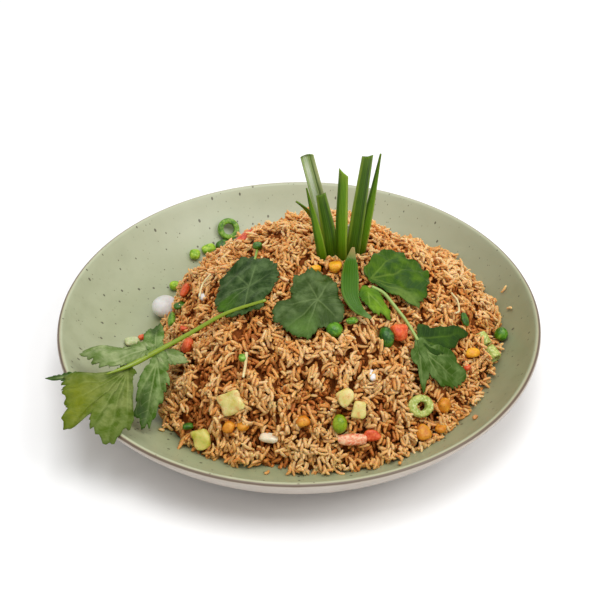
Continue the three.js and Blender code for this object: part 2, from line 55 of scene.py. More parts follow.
def shape(name, points, quads=(), triangles=(), **marks):
    """A mesh object from points in millimetres. Each mark keeps one number for every point."""
    quads = np.asarray(quads, int).reshape(-1, 4)
    triangles = np.asarray(triangles, int).reshape(-1, 3)
    mesh = bpy.data.meshes.new(name)
    mesh.vertices.add(len(points))
    mesh.vertices.foreach_set("co", (np.asarray(points, float) / 1000).ravel())
    mesh.loops.add(quads.size + triangles.size)
    mesh.loops.foreach_set("vertex_index", np.concatenate([quads.ravel(), triangles.ravel()]))
    starts = np.concatenate([np.arange(len(quads)) * 4, quads.size + np.arange(len(triangles)) * 3])
    mesh.polygons.add(len(starts))
    mesh.polygons.foreach_set("loop_start", starts)
    mesh.update(calc_edges=True)
    mesh.polygons.foreach_set("use_smooth", np.ones(len(starts), bool))
    for mark, numbers in marks.items():
        mesh.attributes.new(mark, "FLOAT", "POINT").data.foreach_set("value", np.asarray(numbers, float))
    piece = bpy.data.objects.new(name, mesh)
    bpy.context.scene.collection.objects.link(piece)
    return piece


def served(piece, finish, slot, *solids):
    """The piece in its finish, riding with the dish and standing for the solids named."""
    piece.data.materials.append(finish.material)
    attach(piece, "root")
    if solids:
        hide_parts(*solids)
    return piece


def dye(*channels):
    """A colour given on a scale of 0 to 255, as the light that a surface sends back."""
    shares = [c / 255 / 12.92 if c < 10.4 else ((c / 255 + 0.055) / 1.055) ** 2.4 for c in channels]
    return (*shares, 1.0)


class Value:
    """An output socket of a finish. A sum written with it adds Math nodes."""

    def __init__(self, finish, socket):
        self.finish = finish
        self.socket = socket

    def maths(self, operation, *numbers):
        return self.finish.node("ShaderNodeMath", {"operation": operation}, dict(enumerate(numbers)))

    def __add__(self, other):
        return self.maths("ADD", self, other)

    def __sub__(self, other):
        return self.maths("SUBTRACT", self, other)

    def __rsub__(self, other):
        return self.maths("SUBTRACT", other, self)

    def __mul__(self, other):
        return self.maths("MULTIPLY", self, other)

    def __abs__(self):
        return self.maths("ABSOLUTE", self)

    __radd__ = __add__
    __rmul__ = __mul__

    def within(self):
        """Held between 0 and 1."""
        return self.maths("MINIMUM", self.maths("MAXIMUM", self, 0.0), 1.0)

    def rising(self, low, high):
        """0 up to low, 1 from high, and a straight rise between them. It falls if low is the larger."""
        return ((self - low) * (1 / (high - low))).within()


class Finish:
    """A surface finish while it is mixed, around one Principled shader."""

    def __init__(self, name, **fixed):
        self.material = bpy.data.materials.new(name)
        self.material.use_nodes = True
        self.tree = self.material.node_tree
        self.shader = self.tree.nodes["Principled BSDF"]
        for socket, value in fixed.items():
            self.shader.inputs[socket.replace("_", " ").title().replace("Ior", "IOR")].default_value = value

    def node(self, kind, settings=None, sockets=None, out=0):
        """Any node: its type, its settings, the values or links of its sockets, and the output wanted."""
        made = self.tree.nodes.new(kind)
        for setting, value in (settings or {}).items():
            setattr(made, setting, value)
        for key, value in (sockets or {}).items():
            self.fill(self.socket(made.inputs, key), value)
        return Value(self, self.socket(made.outputs, out))

    def socket(self, sockets, key):
        if isinstance(key, int):
            return sockets[key]
        named = [one for one in sockets if one.identifier == key]
        return named[0] if named else sockets[key]

    def fill(self, socket, value):
        if isinstance(value, Value):
            self.tree.links.new(value.socket, socket)
        else:
            socket.default_value = value

    def surface(self, **sockets):
        for key, value in sockets.items():
            self.fill(self.shader.inputs[key.replace("_", " ").title()], value)
        return self

    def place(self):
        return self.node("ShaderNodeTexCoord", out="Object")

    def mark(self, name):
        """The number kept for each point of the mesh under this name."""
        return self.node("ShaderNodeAttribute", {"attribute_name": name}, out="Fac")

    def mottle(self, size, detail=3.0, at=None):
        """Cloudy noise from 0 to 1, with clouds of about this size in millimetres."""
        sockets = {"Vector": at or self.place(), "Scale": 1000 / size, "Detail": detail}
        return self.node("ShaderNodeTexNoise", None, sockets)

    def mixed(self, share, first, second):
        sockets = {"Factor_Float": share, "A_Color": first, "B_Color": second}
        return self.node("ShaderNodeMix", {"data_type": "RGBA"}, sockets, "Result_Color")

    def bump(self, height, depth, strength=1.0):
        """Relief from a height of 0 to 1, this many millimetres deep."""
        sockets = {"Height": height, "Distance": depth / 1000, "Strength": strength}
        return self.node("ShaderNodeBump", None, sockets, "Normal")


BOWL_RADIUS = 140
BOWL_HEIGHT = 38
FLOOR_RADIUS = 85  # where the flat floor starts to turn up
FLOOR_TOP = 7
FLOOR_THICKNESS = 5
WALL_LEAN = math.radians(56)  # from level, at the lip
LIP_RADIUS = 2
FOOT_RADIUS = 82
FOOT_WIDTH = 4
FOOT_ROUND = 0.8
BOWL_SIDES = 240

lip_x = BOWL_RADIUS - LIP_RADIUS
lip_z = BOWL_HEIGHT - LIP_RADIUS
wall_run = lip_x - LIP_RADIUS * math.sin(WALL_LEAN) - FLOOR_RADIUS
wall_rise = lip_z + LIP_RADIUS * math.cos(WALL_LEAN) - FLOOR_TOP
wall_power = math.tan(WALL_LEAN) * wall_run / wall_rise


def inside_height(radius):
    """Height of the bowl's inside at a distance from its axis."""
    t = np.clip((radius - FLOOR_RADIUS) / wall_run, 0, 1)
    return FLOOR_TOP + wall_rise * t**wall_power


def bowl_profile():
    """Radius and height round the wall's section, from the middle of the floor to the middle underneath."""
    inner = [(r, FLOOR_TOP) for r in np.linspace(0, FLOOR_RADIUS, 12)[:-1]]
    outer = []
    for t in np.linspace(0, 1, 22):
        radius = FLOOR_RADIUS + wall_run * t
        slope = math.atan(wall_rise * wall_power * t ** (wall_power - 1) / wall_run)
        thickness = FLOOR_THICKNESS + (2 * LIP_RADIUS - FLOOR_THICKNESS) * t
        height = inside_height(radius)
        inner.append((radius, height))
        outer.append((radius + thickness * math.sin(slope), height - thickness * math.cos(slope)))
    lip = []
    for turn in np.linspace(WALL_LEAN + math.pi / 2, WALL_LEAN - math.pi / 2, 11)[1:-1]:
        lip.append((lip_x + LIP_RADIUS * math.cos(turn), lip_z + LIP_RADIUS * math.sin(turn)))
    under = FLOOR_TOP - FLOOR_THICKNESS
    foot = [(FOOT_RADIUS + 1.5, under + 0.4), (FOOT_RADIUS, FOOT_ROUND), (FOOT_RADIUS - FOOT_ROUND, 0)]
    foot += [(FOOT_RADIUS - FOOT_WIDTH + FOOT_ROUND, 0), (FOOT_RADIUS - FOOT_WIDTH, FOOT_ROUND)]
    foot += [(FOOT_RADIUS - FOOT_WIDTH - 1, under), (FOOT_RADIUS / 2, under), (0, under)]
    return inner + lip + outer[::-1] + foot, len(inner) + len(lip) // 2


def turns(count):
    """Directions spaced evenly round a circle."""
    return np.arange(count) * 2 * math.pi / count


def grid_quads(rows, columns):
    """Quads between rings of points."""
    row, column = np.meshgrid(np.arange(rows - 1), np.arange(columns), indexing="ij")
    beside = (column + 1) % columns
    here, beyond = row * columns, (row + 1) * columns
    return np.stack([here + column, here + beside, beyond + beside, beyond + column], -1).reshape(-1, 4)


def turned(profile, sides):
    """Points and quads of a profile turned round the Z axis. Its two ends lie on the axis."""
    turn = turns(sides)
    radius, height = np.array(profile).T
    ring = np.stack([np.cos(turn), np.sin(turn), np.zeros(sides)], 1)
    points = radius[:, None, None] * ring + height[:, None, None] * np.array([0, 0, 1])
    return points.reshape(-1, 3), grid_quads(len(profile), sides)


profile, lip_top = bowl_profile()
points, quads = turned(profile, BOWL_SIDES)
steps = np.hypot(*np.diff(np.array(profile), axis=0).T)
along_profile = np.concatenate([[0], np.cumsum(steps)])
past_lip = np.repeat(along_profile - along_profile[lip_top], BOWL_SIDES)
bowl = shape("glazed_bowl", points, quads, past_lip=past_lip)

glaze = Finish("sage_glaze", ior=1.5)
past = glaze.mark("past_lip")
waver = glaze.mottle(14) * 1.6 - 0.8
# Darker down the wall towards the floor.
thick = (past + glaze.mottle(40) * 24 - 12).rising(-18, -62)
sage = glaze.mixed(thick, dye(168, 174, 141), dye(146, 152, 112))
sage = glaze.mixed(glaze.mottle(11).rising(0.42, 0.75) * 0.4, sage, dye(140, 146, 112))
# Painted shade and light: the glaze is drawn darker towards the right, where the heap shades the wall, and
# paler towards the back wall, which takes more light.
painted_shade_right = glaze.node("ShaderNodeSeparateXYZ", None, {0: glaze.place()}, "X").rising(0.04, 0.13)
painted_light_back = glaze.node("ShaderNodeSeparateXYZ", None, {0: glaze.place()}, "Y").rising(0.02, 0.12)
sage = glaze.mixed(painted_shade_right * 0.55, sage, dye(118, 118, 82))
sage = glaze.mixed(painted_light_back * 0.6, sage, dye(186, 190, 164))
flat = {"voronoi_dimensions": "2D"}
spots = {"Vector": glaze.place(), "Scale": 1000 / 9}
spot_distance = glaze.node("ShaderNodeTexVoronoi", flat, spots, "Distance")
spot_colour = glaze.node("ShaderNodeTexVoronoi", flat, spots, "Color")
spot_chance = glaze.node("ShaderNodeSeparateColor", None, {0: spot_colour})
ragged = glaze.mottle(1.1) * 0.04
speck = (0.04 + spot_chance.rising(0.5, 1.0) * 0.06 - spot_distance - ragged + 0.02).rising(0.0, 0.02)
speck = speck * spot_chance.rising(0.44, 0.5)
fleck_grid = {"Vector": glaze.place(), "Scale": 1000 / 4.5}
fleck_distance = glaze.node("ShaderNodeTexVoronoi", flat, fleck_grid, "Distance")
fleck = (0.08 - fleck_distance).rising(0.0, 0.03) * glaze.mottle(9).rising(0.5, 0.6) * 0.7
inside = glaze.mixed((speck * 0.9 + fleck).within(), sage, dye(84, 80, 60))
cream = glaze.mixed(glaze.mottle(30), dye(176, 164, 150), dye(194, 184, 173))
breaking = (past + waver * 0.5).rising(-1.9, -0.7)
inside = glaze.mixed(breaking * 0.6, inside, dye(176, 164, 130))
brown_line = 1 - abs(past - 0.1 + waver * 0.3).rising(0.45, 1.05)
body = glaze.mixed((past + waver * 0.4).rising(0.2, 1.2), inside, cream)
coloured = glaze.mixed(brown_line * 0.9, body, dye(92, 70, 58))
relief = glaze.mottle(5) * 0.6 + glaze.mottle(28) * 2.0 - speck * 0.25
glaze.surface(base_color=coloured, roughness=0.34 + glaze.mottle(18) * 0.12, normal=glaze.bump(relief, 0.12))
served(bowl, glaze, "glaze", "bowl")


# Core of the heap
# The rice under the top layers is never seen but between grains. It is one wet mass with relief finer than a
# grain, a few millimetres inside the solid's surface, and the loose grains are packed over it. Its dark
# brown is partly sauce and partly painted shade in the gaps between the grains.

MAP_REACH = 142
MAP_STEP = 2
PACKED_DEPTH = 4.2  # thickness of the loose grains over the core
LUMP_HEIGHT = 3.0  # how far a lump of clinging grains stands over the heap's mean surface


def solid_tree(*nodes):
    """The solids' faces in millimetres, for looking up what is near."""
    corners = []
    faces = []
    for node in nodes:
        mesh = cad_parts[node].data
        base = len(corners)
        corners.extend(vertex.co * 1000 for vertex in mesh.vertices)
        faces.extend([base + corner for corner in face.vertices] for face in mesh.polygons)
    return BVHTree.FromPolygons(corners, faces)


class HeightMap:
    """Heights over the plan on a square grid, read between its points."""

    def __init__(self, heights):
        self.heights = heights

    def __call__(self, x, y):
        last = len(self.heights) - 1.001
        u = np.clip((np.asarray(x, float) + MAP_REACH) / MAP_STEP, 0, last)
        v = np.clip((np.asarray(y, float) + MAP_REACH) / MAP_STEP, 0, last)
        i, j = u.astype(int), v.astype(int)
        u, v = u - i, v - j
        h = self.heights
        near = h[i, j] * (1 - u) + h[i + 1, j] * u
        return near * (1 - v) + (h[i, j + 1] * (1 - u) + h[i + 1, j + 1] * u) * v

    def normal(self, x, y, reach=2.5):
        slope_x = (self(x + reach, y) - self(x - reach, y)) / (2 * reach)
        slope_y = (self(x, y + reach) - self(x, y - reach)) / (2 * reach)
        up = np.stack([-slope_x, -slope_y, np.ones_like(slope_x)], -1)
        return up / np.linalg.norm(up, axis=-1, keepdims=True)


def nine_shifts(heights):
    """A map of heights shifted by a step or none either way, as nine maps."""
    padded = np.pad(heights, 1, mode="edge")
    size = len(heights)
    return [padded[i : i + size, j : j + size] for i in range(3) for j in range(3)]


def smoothed(heights, rounds):
    for _ in range(rounds):
        heights = sum(nine_shifts(heights)) / 9
    return heights


rice_tree = solid_tree("rice")
ticks = np.arange(-MAP_REACH, MAP_REACH + MAP_STEP, MAP_STEP)
map_x, map_y = np.meshgrid(ticks, ticks, indexing="ij")
bowl_heights = inside_height(np.hypot(map_x, map_y))
rice_heights = bowl_heights.copy()
is_rice = np.zeros(map_x.shape, bool)
down = Vector((0, 0, -1))
for i, j in np.ndindex(map_x.shape):
    hit = rice_tree.ray_cast(Vector((map_x[i, j], map_y[i, j], 200)), down)[0]
    if hit is not None:
        rice_heights[i, j] = hit.z
        is_rice[i, j] = True
heap_top = HeightMap(smoothed(rice_heights, 2))
rice_share = HeightMap(smoothed(is_rice.astype(float), 1))
low_corner, high_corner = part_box("rice")
heap_x = (low_corner.x + high_corner.x) * 500
heap_y = (low_corner.y + high_corner.y) * 500
heap_reach = 1000 * max(high_corner.x - low_corner.x, high_corner.y - low_corner.y) / 2


def uneven(seed, rounds):
    """A random field over the plan with a spread of 1. More rounds of smoothing give wider swells."""
    field = smoothed(np.random.default_rng(seed).normal(size=map_x.shape), rounds)
    return HeightMap(field / field.std())


swell, cleft, clot = uneven(3, 7), uneven(4, 3), uneven(9, 2)


def lumps(x, y):
    """Where grains cling in lumps: up to about 1 on a lump, down to -1.5 in a cleft between lumps."""
    between = np.exp(-((cleft(x, y) / 0.5) ** 2))
    return np.clip(0.6 + 0.35 * swell(x, y) + 0.25 * clot(x, y) - 2.1 * between, -1.5, 1.2)


def core_height(x, y):
    steepness = heap_top.normal(x, y)[..., 2]
    sunk = heap_top(x, y) + (LUMP_HEIGHT * lumps(x, y) - PACKED_DEPTH) / np.maximum(steepness, 0.5)
    return np.maximum(sunk, inside_height(np.hypot(x, y)) - 0.4)


CORE_RINGS = 90
CORE_SPOKES = 240
core_turns = turns(CORE_SPOKES)
edge = np.zeros(CORE_SPOKES)
for reach in np.arange(40, 125, 0.5):
    on_spoke = rice_share(heap_x + reach * np.cos(core_turns), heap_y + reach * np.sin(core_turns))
    edge = np.where(on_spoke > 0.6, reach, edge)
share, turn = np.meshgrid(np.linspace(0.004, 1, CORE_RINGS), core_turns, indexing="ij")
core_x = heap_x + share * (edge - 1.5) * np.cos(turn)
core_y = heap_y + share * (edge - 1.5) * np.sin(turn)
core_z = core_height(core_x, core_y) + 0.4 * np.sin(core_x * 1.3) * np.sin(core_y * 1.5)
core = shape(
    "rice_core",
    np.stack([core_x, core_y, core_z], -1).reshape(-1, 3),
    grid_quads(CORE_RINGS, CORE_SPOKES)[:, ::-1],
)
sauced = Finish("core_sauce_and_painted_shade", roughness=0.6, specular_ior_level=0.1)
# Browns darker than the grains: painted shade in the gaps between them, over the sauce.
wet = sauced.mixed(sauced.mottle(2.2), dye(98, 42, 10), dye(160, 90, 36))
sauced.surface(base_color=wet, normal=sauced.bump(sauced.mottle(1.6), 1.2))
served(core, sauced, "rice", "rice")


# Grains
# Cooked long grains, stir-fried, so each lies separate but pressed against its neighbours. Some stay pale,
# most are stained tan by the sauce, and some are brown. Grains deeper in the clefts are drawn browner, as
# painted shade. They are laid one by one on what is already there.

GRAIN_LENGTH = 6.9
GRAIN_WIDTH = 1.95
BEADS = np.linspace(-1, 1, 5)  # a grain is felt by its neighbours as beads along it
PRESSED = 0.58  # share of the beads' radii at which two grains touch
TOP_GRAINS = 1.0  # how far the last grains may stand over the solid's surface
HEAPED_UP = 1.2  # how much higher they lie against a piece of vegetable
BIT_REACH = 5.5  # how near a piece of vegetable counts as against it
LEAF_REACH = 5  # how near a leaf or the folded blade no grain stands over the surface
GRAIN_TRIES = 46000
STRAGGLERS = 90  # tries at loose grains on the bowl round the heap
CELL = 8

toppings = [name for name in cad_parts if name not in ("bowl", "rice")]
topping_tree = solid_tree(*toppings)
leaf_tree = solid_tree(*[name for name in toppings if name.startswith(("leaf_", "sprig_", "leek_fold"))])
bit_tree = solid_tree(*[name for name in toppings if not name.startswith(("leaf_", "sprig_", "leek_"))])
rng = np.random.default_rng(7)
grain_cells = {}
grain_beads = []
grains = []


def lay_grain(x, y, length, width, over, pitches):
    """Drops a grain along the slope's own up, tipped to lie lowest, if it fits under its limit."""
    up = heap_top.normal(np.array(x), np.array(y))
    level = np.cross(up, [math.cos(length * 40), math.sin(length * 40), 0.3])
    level /= np.linalg.norm(level)
    base = np.array([x, y, float(core_height(np.array(x), np.array(y)))])
    surface = float(heap_top(x, y))
    covered = topping_tree.ray_cast(Vector((x, y, surface - 2)), Vector((0, 0, 1)), 9)[0]
    reach = np.array([-0.4, 0, 0.4]) * length
    beneath = lumps(x + reach * level[0], y + reach * level[1])
    over += LUMP_HEIGHT * float(beneath[1] + beneath.min()) / 2
    if bit_tree.find_nearest(Vector((x, y, surface)), BIT_REACH)[0] is not None:
        over = max(over, 0.5) + HEAPED_UP
    if leaf_tree.find_nearest(Vector((x, y, surface + 3)), LEAF_REACH)[0] is not None:
        over = min(over, 0)
    if covered is not None:
        over = min(over, covered.z - surface - 1.5)
    roof = (surface - base[2]) * up[2] + over
    middle = tuple(np.floor((base + up * 3) / CELL).astype(int))
    near = []
    for dx in (-1, 0, 1):
        for dy in (-1, 0, 1):
            for dz in (-1, 0, 1):
                near += grain_cells.get((middle[0] + dx, middle[1] + dy, middle[2] + dz), [])
    radius = width / 2 * (1 - 0.25 * BEADS**2)
    axes = np.array([level * math.cos(p) + up * math.sin(p) for p in pitches])
    beads = base + axes[:, None, :] * (BEADS * (length / 2 - width * 0.35))[None, :, None]
    floor = inside_height(np.hypot(beads[..., 0], beads[..., 1])) + radius - beads[..., 2]
    lift = np.maximum((floor / up[2]).max(1), (radius * 0.6 - (beads - base) @ up).max(1))
    if near:
        others = np.array([grain_beads[k] for k in near]).reshape(-1, 4)
        gap = others[None, None, :, :3] - beads[:, :, None, :]
        along = gap @ up
        aside = (gap**2).sum(-1) - along**2
        touch = ((radius[None, :, None] + others[None, None, :, 3]) * PRESSED) ** 2 - aside
        needed = np.where(touch > 0, along + np.sqrt(np.maximum(touch, 0)), -10)
        lift = np.maximum(lift, needed.max((1, 2)))
    best = int(np.argmin(lift))
    if lift[best] > roof:
        return False
    beads = beads[best] + up * lift[best]
    for bead, r in zip(beads, radius):
        if topping_tree.find_nearest(Vector(bead), r * 0.85)[0] is not None:
            return False
    index = len(grains)
    grain_beads.append(np.concatenate([beads, radius[:, None]], 1))
    cell = tuple(np.floor(beads[2] / CELL).astype(int))
    grain_cells.setdefault(cell, []).append(index)
    grains.append((beads[2], axes[best], up, length, width))
    return True


for _ in range(GRAIN_TRIES):
    turn, share = rng.random() * 2 * math.pi, math.sqrt(rng.random())
    x = heap_x + share * (heap_reach + 6) * math.cos(turn)
    y = heap_y + share * (heap_reach + 6) * math.sin(turn)
    length = GRAIN_LENGTH * rng.uniform(0.8, 1.15) * (0.6 if rng.random() < 0.2 else 1)
    width = GRAIN_WIDTH * rng.uniform(0.86, 1.14)
    pitches = np.radians(rng.uniform(-60, 60, 4))
    over = TOP_GRAINS * rng.uniform(0, 1.2)
    if rice_share(x, y) < 0.35 or rng.random() > 1 / max(heap_top.normal(x, y)[2], 0.45) * 0.6:
        continue
    lay_grain(x, y, length, width, over, pitches)
for _ in range(STRAGGLERS):
    turn = rng.random() * 2 * math.pi
    reach = float(np.interp(turn, core_turns, edge)) + rng.exponential(2.5)
    x, y = heap_x + reach * math.cos(turn), heap_y + reach * math.sin(turn)
    length = GRAIN_LENGTH * rng.uniform(0.5, 1.1)
    width = GRAIN_WIDTH * rng.uniform(0.85, 1.1)
    lay_grain(x, y, length, width, 3, [0, 0.2, -0.2])

laid_heights = rice_heights - 6
for beads in grain_beads:
    for bead in beads[::2]:
        i, j = int(round((bead[0] + MAP_REACH) / MAP_STEP)), int(round((bead[1] + MAP_REACH) / MAP_STEP))
        laid_heights[i, j] = max(laid_heights[i, j], bead[2] + bead[3])
laid_top = HeightMap(smoothed(np.max(nine_shifts(laid_heights), axis=0), 1))  # tops of the grains as laid

GRAIN_SIDES = 5
ring_turns = turns(GRAIN_SIDES)
ring_places = np.array([-0.93, -0.68, -0.25, 0.25, 0.66, 0.9])
ring_sizes = np.array([0.55, 0.92, 1.04, 1.0, 0.86, 0.5])
GRAIN_RINGS = len(ring_places)


def end_fans(rows, columns):
    """Triangles that close both ends of a tube of rings, to two points that follow the rings."""
    corner = np.arange(columns)
    beside = (corner + 1) % columns
    last = (rows - 1) * columns
    hub = np.full(columns, rows * columns)
    return np.concatenate([
        np.stack([beside, corner, hub], 1),
        np.stack([last + corner, last + beside, hub + 1], 1),
    ])


grain_quads = grid_quads(GRAIN_RINGS, GRAIN_SIDES)
grain_ends = end_fans(GRAIN_RINGS, GRAIN_SIDES)


def grain_points(middle, axis, up, length, width, bend, twist):
    """A blunt, slightly bowed spindle: rings of points along it, then its two tips."""
    side = np.cross(axis, up)
    side /= np.linalg.norm(side)
    over = np.cross(side, axis)
    bow = side * math.cos(twist) + over * math.sin(twist)
    along = ring_places * length / 2
    centres = middle + along[:, None] * axis + (bend * (ring_places**2 - 0.4))[:, None] * bow
    across = np.cos(ring_turns)[:, None] * side + 0.86 * np.sin(ring_turns)[:, None] * over
    rings = centres[:, None, :] + (ring_sizes * width / 2)[:, None, None] * across[None]
    tips = [middle - axis * length / 2 + bend * 0.6 * bow, middle + axis * length / 2 + bend * 0.6 * bow]
    return np.concatenate([rings.reshape(-1, 3), tips])


stains = uneven(5, 8)  # where more of the sauce ran
KINDS = ["pale", "tan", "amber", "brown"]
batches = {kind: ([], []) for kind in KINDS}
for middle, axis, up, length, width in grains:
    sunk = float(heap_top(middle[0], middle[1])) - middle[2]
    clump = 0.2 * float(stains(middle[0], middle[1])) + 0.22 * float(clot(middle[0], middle[1]))
    # Grains lying deeper under the heap's surface go to browner kinds: painted shade in the clefts, beside
    # the random tone and the sauce stains.
    stain = rng.normal(0, 0.36) + clump + 0.12 * sunk + 0.4 * max(sunk - 1.8, 0)
    kind = KINDS[int(np.digitize(stain, [-0.3, 0.34, 1.2]))]
    spindles, tones = batches[kind]
    spindles.append(grain_points(middle, axis, up, length, width, rng.normal(0, 0.8), rng.uniform(0, 6.3)))
    tones.append(rng.random())


def scattered(name, spindles, tones):
    """Many grains as one mesh, each with a tone of its own."""
    count = len(spindles)
    size = len(spindles[0])
    base = (np.arange(count) * size)[:, None, None]
    quads = (grain_quads[None] + base).reshape(-1, 4)
    ends = (grain_ends[None] + base).reshape(-1, 3)
    return shape(name, np.concatenate(spindles), quads, ends, tone=np.repeat(tones, size))


def grain_finish(kind, light, dark, stain):
    finish = Finish(kind + "_grain", subsurface_weight=0.5, subsurface_scale=0.003, specular_ior_level=0.3)
    finish.shader.inputs["Subsurface Radius"].default_value = (1.0, 0.5, 0.2)
    tone = finish.mark("tone")
    colour = finish.mixed(tone, light, dark)
    colour = finish.mixed(finish.mottle(3.2).rising(0.46, 0.72) * 0.6, colour, stain)
    colour = finish.mixed(finish.mottle(17).rising(0.5, 0.75) * 0.35, colour, stain)
    gloss = 0.4 + finish.mottle(2.5) * 0.3
    return finish.surface(base_color=colour, roughness=gloss, normal=finish.bump(finish.mottle(0.9), 0.15))


GRAIN_DYES = {
    "pale": (dye(236, 194, 140), dye(228, 178, 118), dye(212, 150, 82)),
    "tan": (dye(230, 180, 116), dye(220, 162, 96), dye(200, 130, 62)),
    "amber": (dye(226, 164, 94), dye(212, 142, 70), dye(184, 108, 40)),
    "brown": (dye(204, 130, 62), dye(176, 102, 40), dye(134, 68, 20)),
}
for kind in KINDS:
    finish = grain_finish(kind, *GRAIN_DYES[kind])
    served(scattered("grains_" + kind, *batches[kind]), finish, "rice", "rice")


# Bits of vegetable
# Peas, sweetcorn, carrot, cabbage rib and onion, cut before cooking and fried with the rice.
# Each keeps the form of its solid, with the facets rounded off and the finish of its own kind. Where a solid
# came out small against the photo it is drawn larger about its middle.

def rounded(node, edge_hold, stretch, uneven_by):
    """Points and quads of a solid, its facets rounded off and its sharp edges held by this much."""
    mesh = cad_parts[node].data.copy()
    block = bpy.data.objects.new("block", mesh)
    bpy.context.scene.collection.objects.link(block)
    sharp = bmesh.new()
    sharp.from_mesh(mesh)
    bmesh.ops.remove_doubles(sharp, verts=sharp.verts, dist=1e-5)
    held = sharp.edges.layers.float.new("crease_edge")
    for edge in sharp.edges:
        if edge.calc_face_angle(0) > math.radians(40):
            edge[held] = edge_hold
    sharp.to_mesh(mesh)
    sharp.free()
    rounder = block.modifiers.new("rounder", "SUBSURF")
    rounder.levels = 3 if len(mesh.polygons) < 60 else 2
    soft = bpy.data.meshes.new_from_object(block.evaluated_get(bpy.context.evaluated_depsgraph_get()))
    points = np.zeros(len(soft.vertices) * 3)
    soft.vertices.foreach_get("co", points)
    points = points.reshape(-1, 3) * 1000
    quads = np.array([list(face.vertices) for face in soft.polygons])
    bpy.data.objects.remove(block)
    bpy.data.meshes.remove(mesh)
    bpy.data.meshes.remove(soft)
    middle = points.mean(0)
    out = points - middle
    seed = middle.sum()
    knobs = np.sin(out[:, 0] * 0.8 + seed) * np.sin(out[:, 1] * 0.7 + 2 * seed)
    knobs += np.sin(out[:, 2] * 1.2 + 3 * seed)
    return middle + out * np.array(stretch) * (1 + uneven_by * knobs[:, None]), quads


def moist(name, deep, bright, edge, mottle=3.0, roughness=0.3, stain=0.4, grain=0.8):
    """Cut cooked vegetable, wet: two tones in clouds of this size, and a third here and there by stain."""
    finish = Finish(name, subsurface_weight=0.15, subsurface_scale=0.002, specular_ior_level=0.45)
    colour = finish.mixed(finish.mottle(mottle).rising(0.35, 0.65), dye(*deep), dye(*bright))
    colour = finish.mixed(finish.mottle(mottle * 0.5).rising(0.52, 0.7) * stain, colour, dye(*edge))
    gloss = roughness + finish.mottle(2) * 0.2
    return finish.surface(base_color=colour, roughness=gloss, normal=finish.bump(finish.mottle(grain), 0.25))


WET = {
    "pea_green": ((44, 96, 4), (84, 138, 18), (150, 186, 60), {"mottle": 4, "roughness": 0.2}),
    "pea_yellow_green": ((98, 130, 4), (144, 168, 24), (188, 200, 70), {"mottle": 4, "roughness": 0.2}),
    # The pea green drawn darker: painted shade on pea_shade.
    "pea_painted_shade": ((24, 70, 4), (56, 110, 16), (110, 160, 60), {"mottle": 4, "roughness": 0.2}),
    "corn_yellow": ((220, 140, 20), (240, 184, 44), (196, 110, 20), {"roughness": 0.25}),
    "corn_sauced": ((196, 112, 14), (226, 158, 42), (160, 86, 20), {"mottle": 3, "stain": 0.8}),
    "carrot_orange": ((196, 62, 18), (226, 100, 44), (236, 150, 92), {"mottle": 2.5}),
    "flake_pink": ((222, 112, 74), (240, 190, 150), (248, 220, 194), {"mottle": 1.6, "grain": 1.4}),
    "bulb_skin": ((206, 203, 196), (236, 234, 232), (218, 208, 220), {"mottle": 9, "stain": 0.25}),
    "cabbage_clear": ((160, 172, 112), (192, 198, 150), (206, 204, 170), {"mottle": 4}),
    "cabbage_rib": ((196, 180, 84), (232, 216, 150), (206, 146, 70), {"mottle": 5, "stain": 0.8}),
    "cabbage_lime": ((176, 172, 50), (220, 208, 120), (200, 146, 66), {"mottle": 5, "stain": 0.7}),
    "onion_lime": ((112, 160, 4), (164, 200, 40), (206, 218, 120), {}),
    "onion_green": ((66, 118, 6), (120, 168, 40), (190, 208, 120), {}),
    "onion_pale": ((146, 160, 60), (188, 196, 108), (224, 226, 170), {"mottle": 2.2, "stain": 0.7}),
    "onion_dark": ((30, 74, 2), (66, 118, 12), (110, 150, 40), {}),
}
wet = {name: moist(name, *dyes, **mixing) for name, (*dyes, mixing) in WET.items()}

# By finish: its slot, how far sharp edges are held, how uneven it is, and its solids.
BITS = {
    "pea_green": ("pea", 0, 0.015, ["pea_centre", "pea_edge"]),
    "pea_yellow_green": ("pea", 0, 0, ["pea_front"]),
    "pea_painted_shade": ("pea", 0, 0, ["pea_shade"]),
    "corn_yellow": ("corn", 0.1, 0.05, ["corn_crown", "corn_right"]),
    "corn_sauced": ("corn", 0.3, 0.07, ["corn_low", "corn_front_right", "corn_front", "corn_front_left"]),
    "carrot_orange": ("carrot", 0.5, 0.07, [
        "carrot_back", "carrot_left", "carrot_under_stem", "carrot_right", "carrot_front",
    ]),
    "flake_pink": ("flake", 0.3, 0.06, ["pink_flake"]),
    "bulb_skin": ("bulb", 0, 0, ["bulb_white"]),
    "cabbage_clear": ("cabbage", 0, 0, ["cabbage_rim"]),
    "cabbage_rib": ("cabbage", 0.8, 0.07, ["cabbage_left", "cabbage_front", "cabbage_front_right"]),
    "cabbage_lime": ("cabbage", 0.8, 0.07, ["cabbage_low"]),
    "onion_lime": ("green", 0.4, 0, ["onion_back_light", "onion_back_low", "onion_left"]),
    "onion_green": ("green", 0.6, 0, ["onion_slab", "ring_back"]),
    "onion_pale": ("green", 0.7, 0, ["ring_right", "tube_upper", "tube_lower"]),
    "onion_dark": ("green", 0, 0, ["onion_back_dark", "leaf_scrap"]),
}
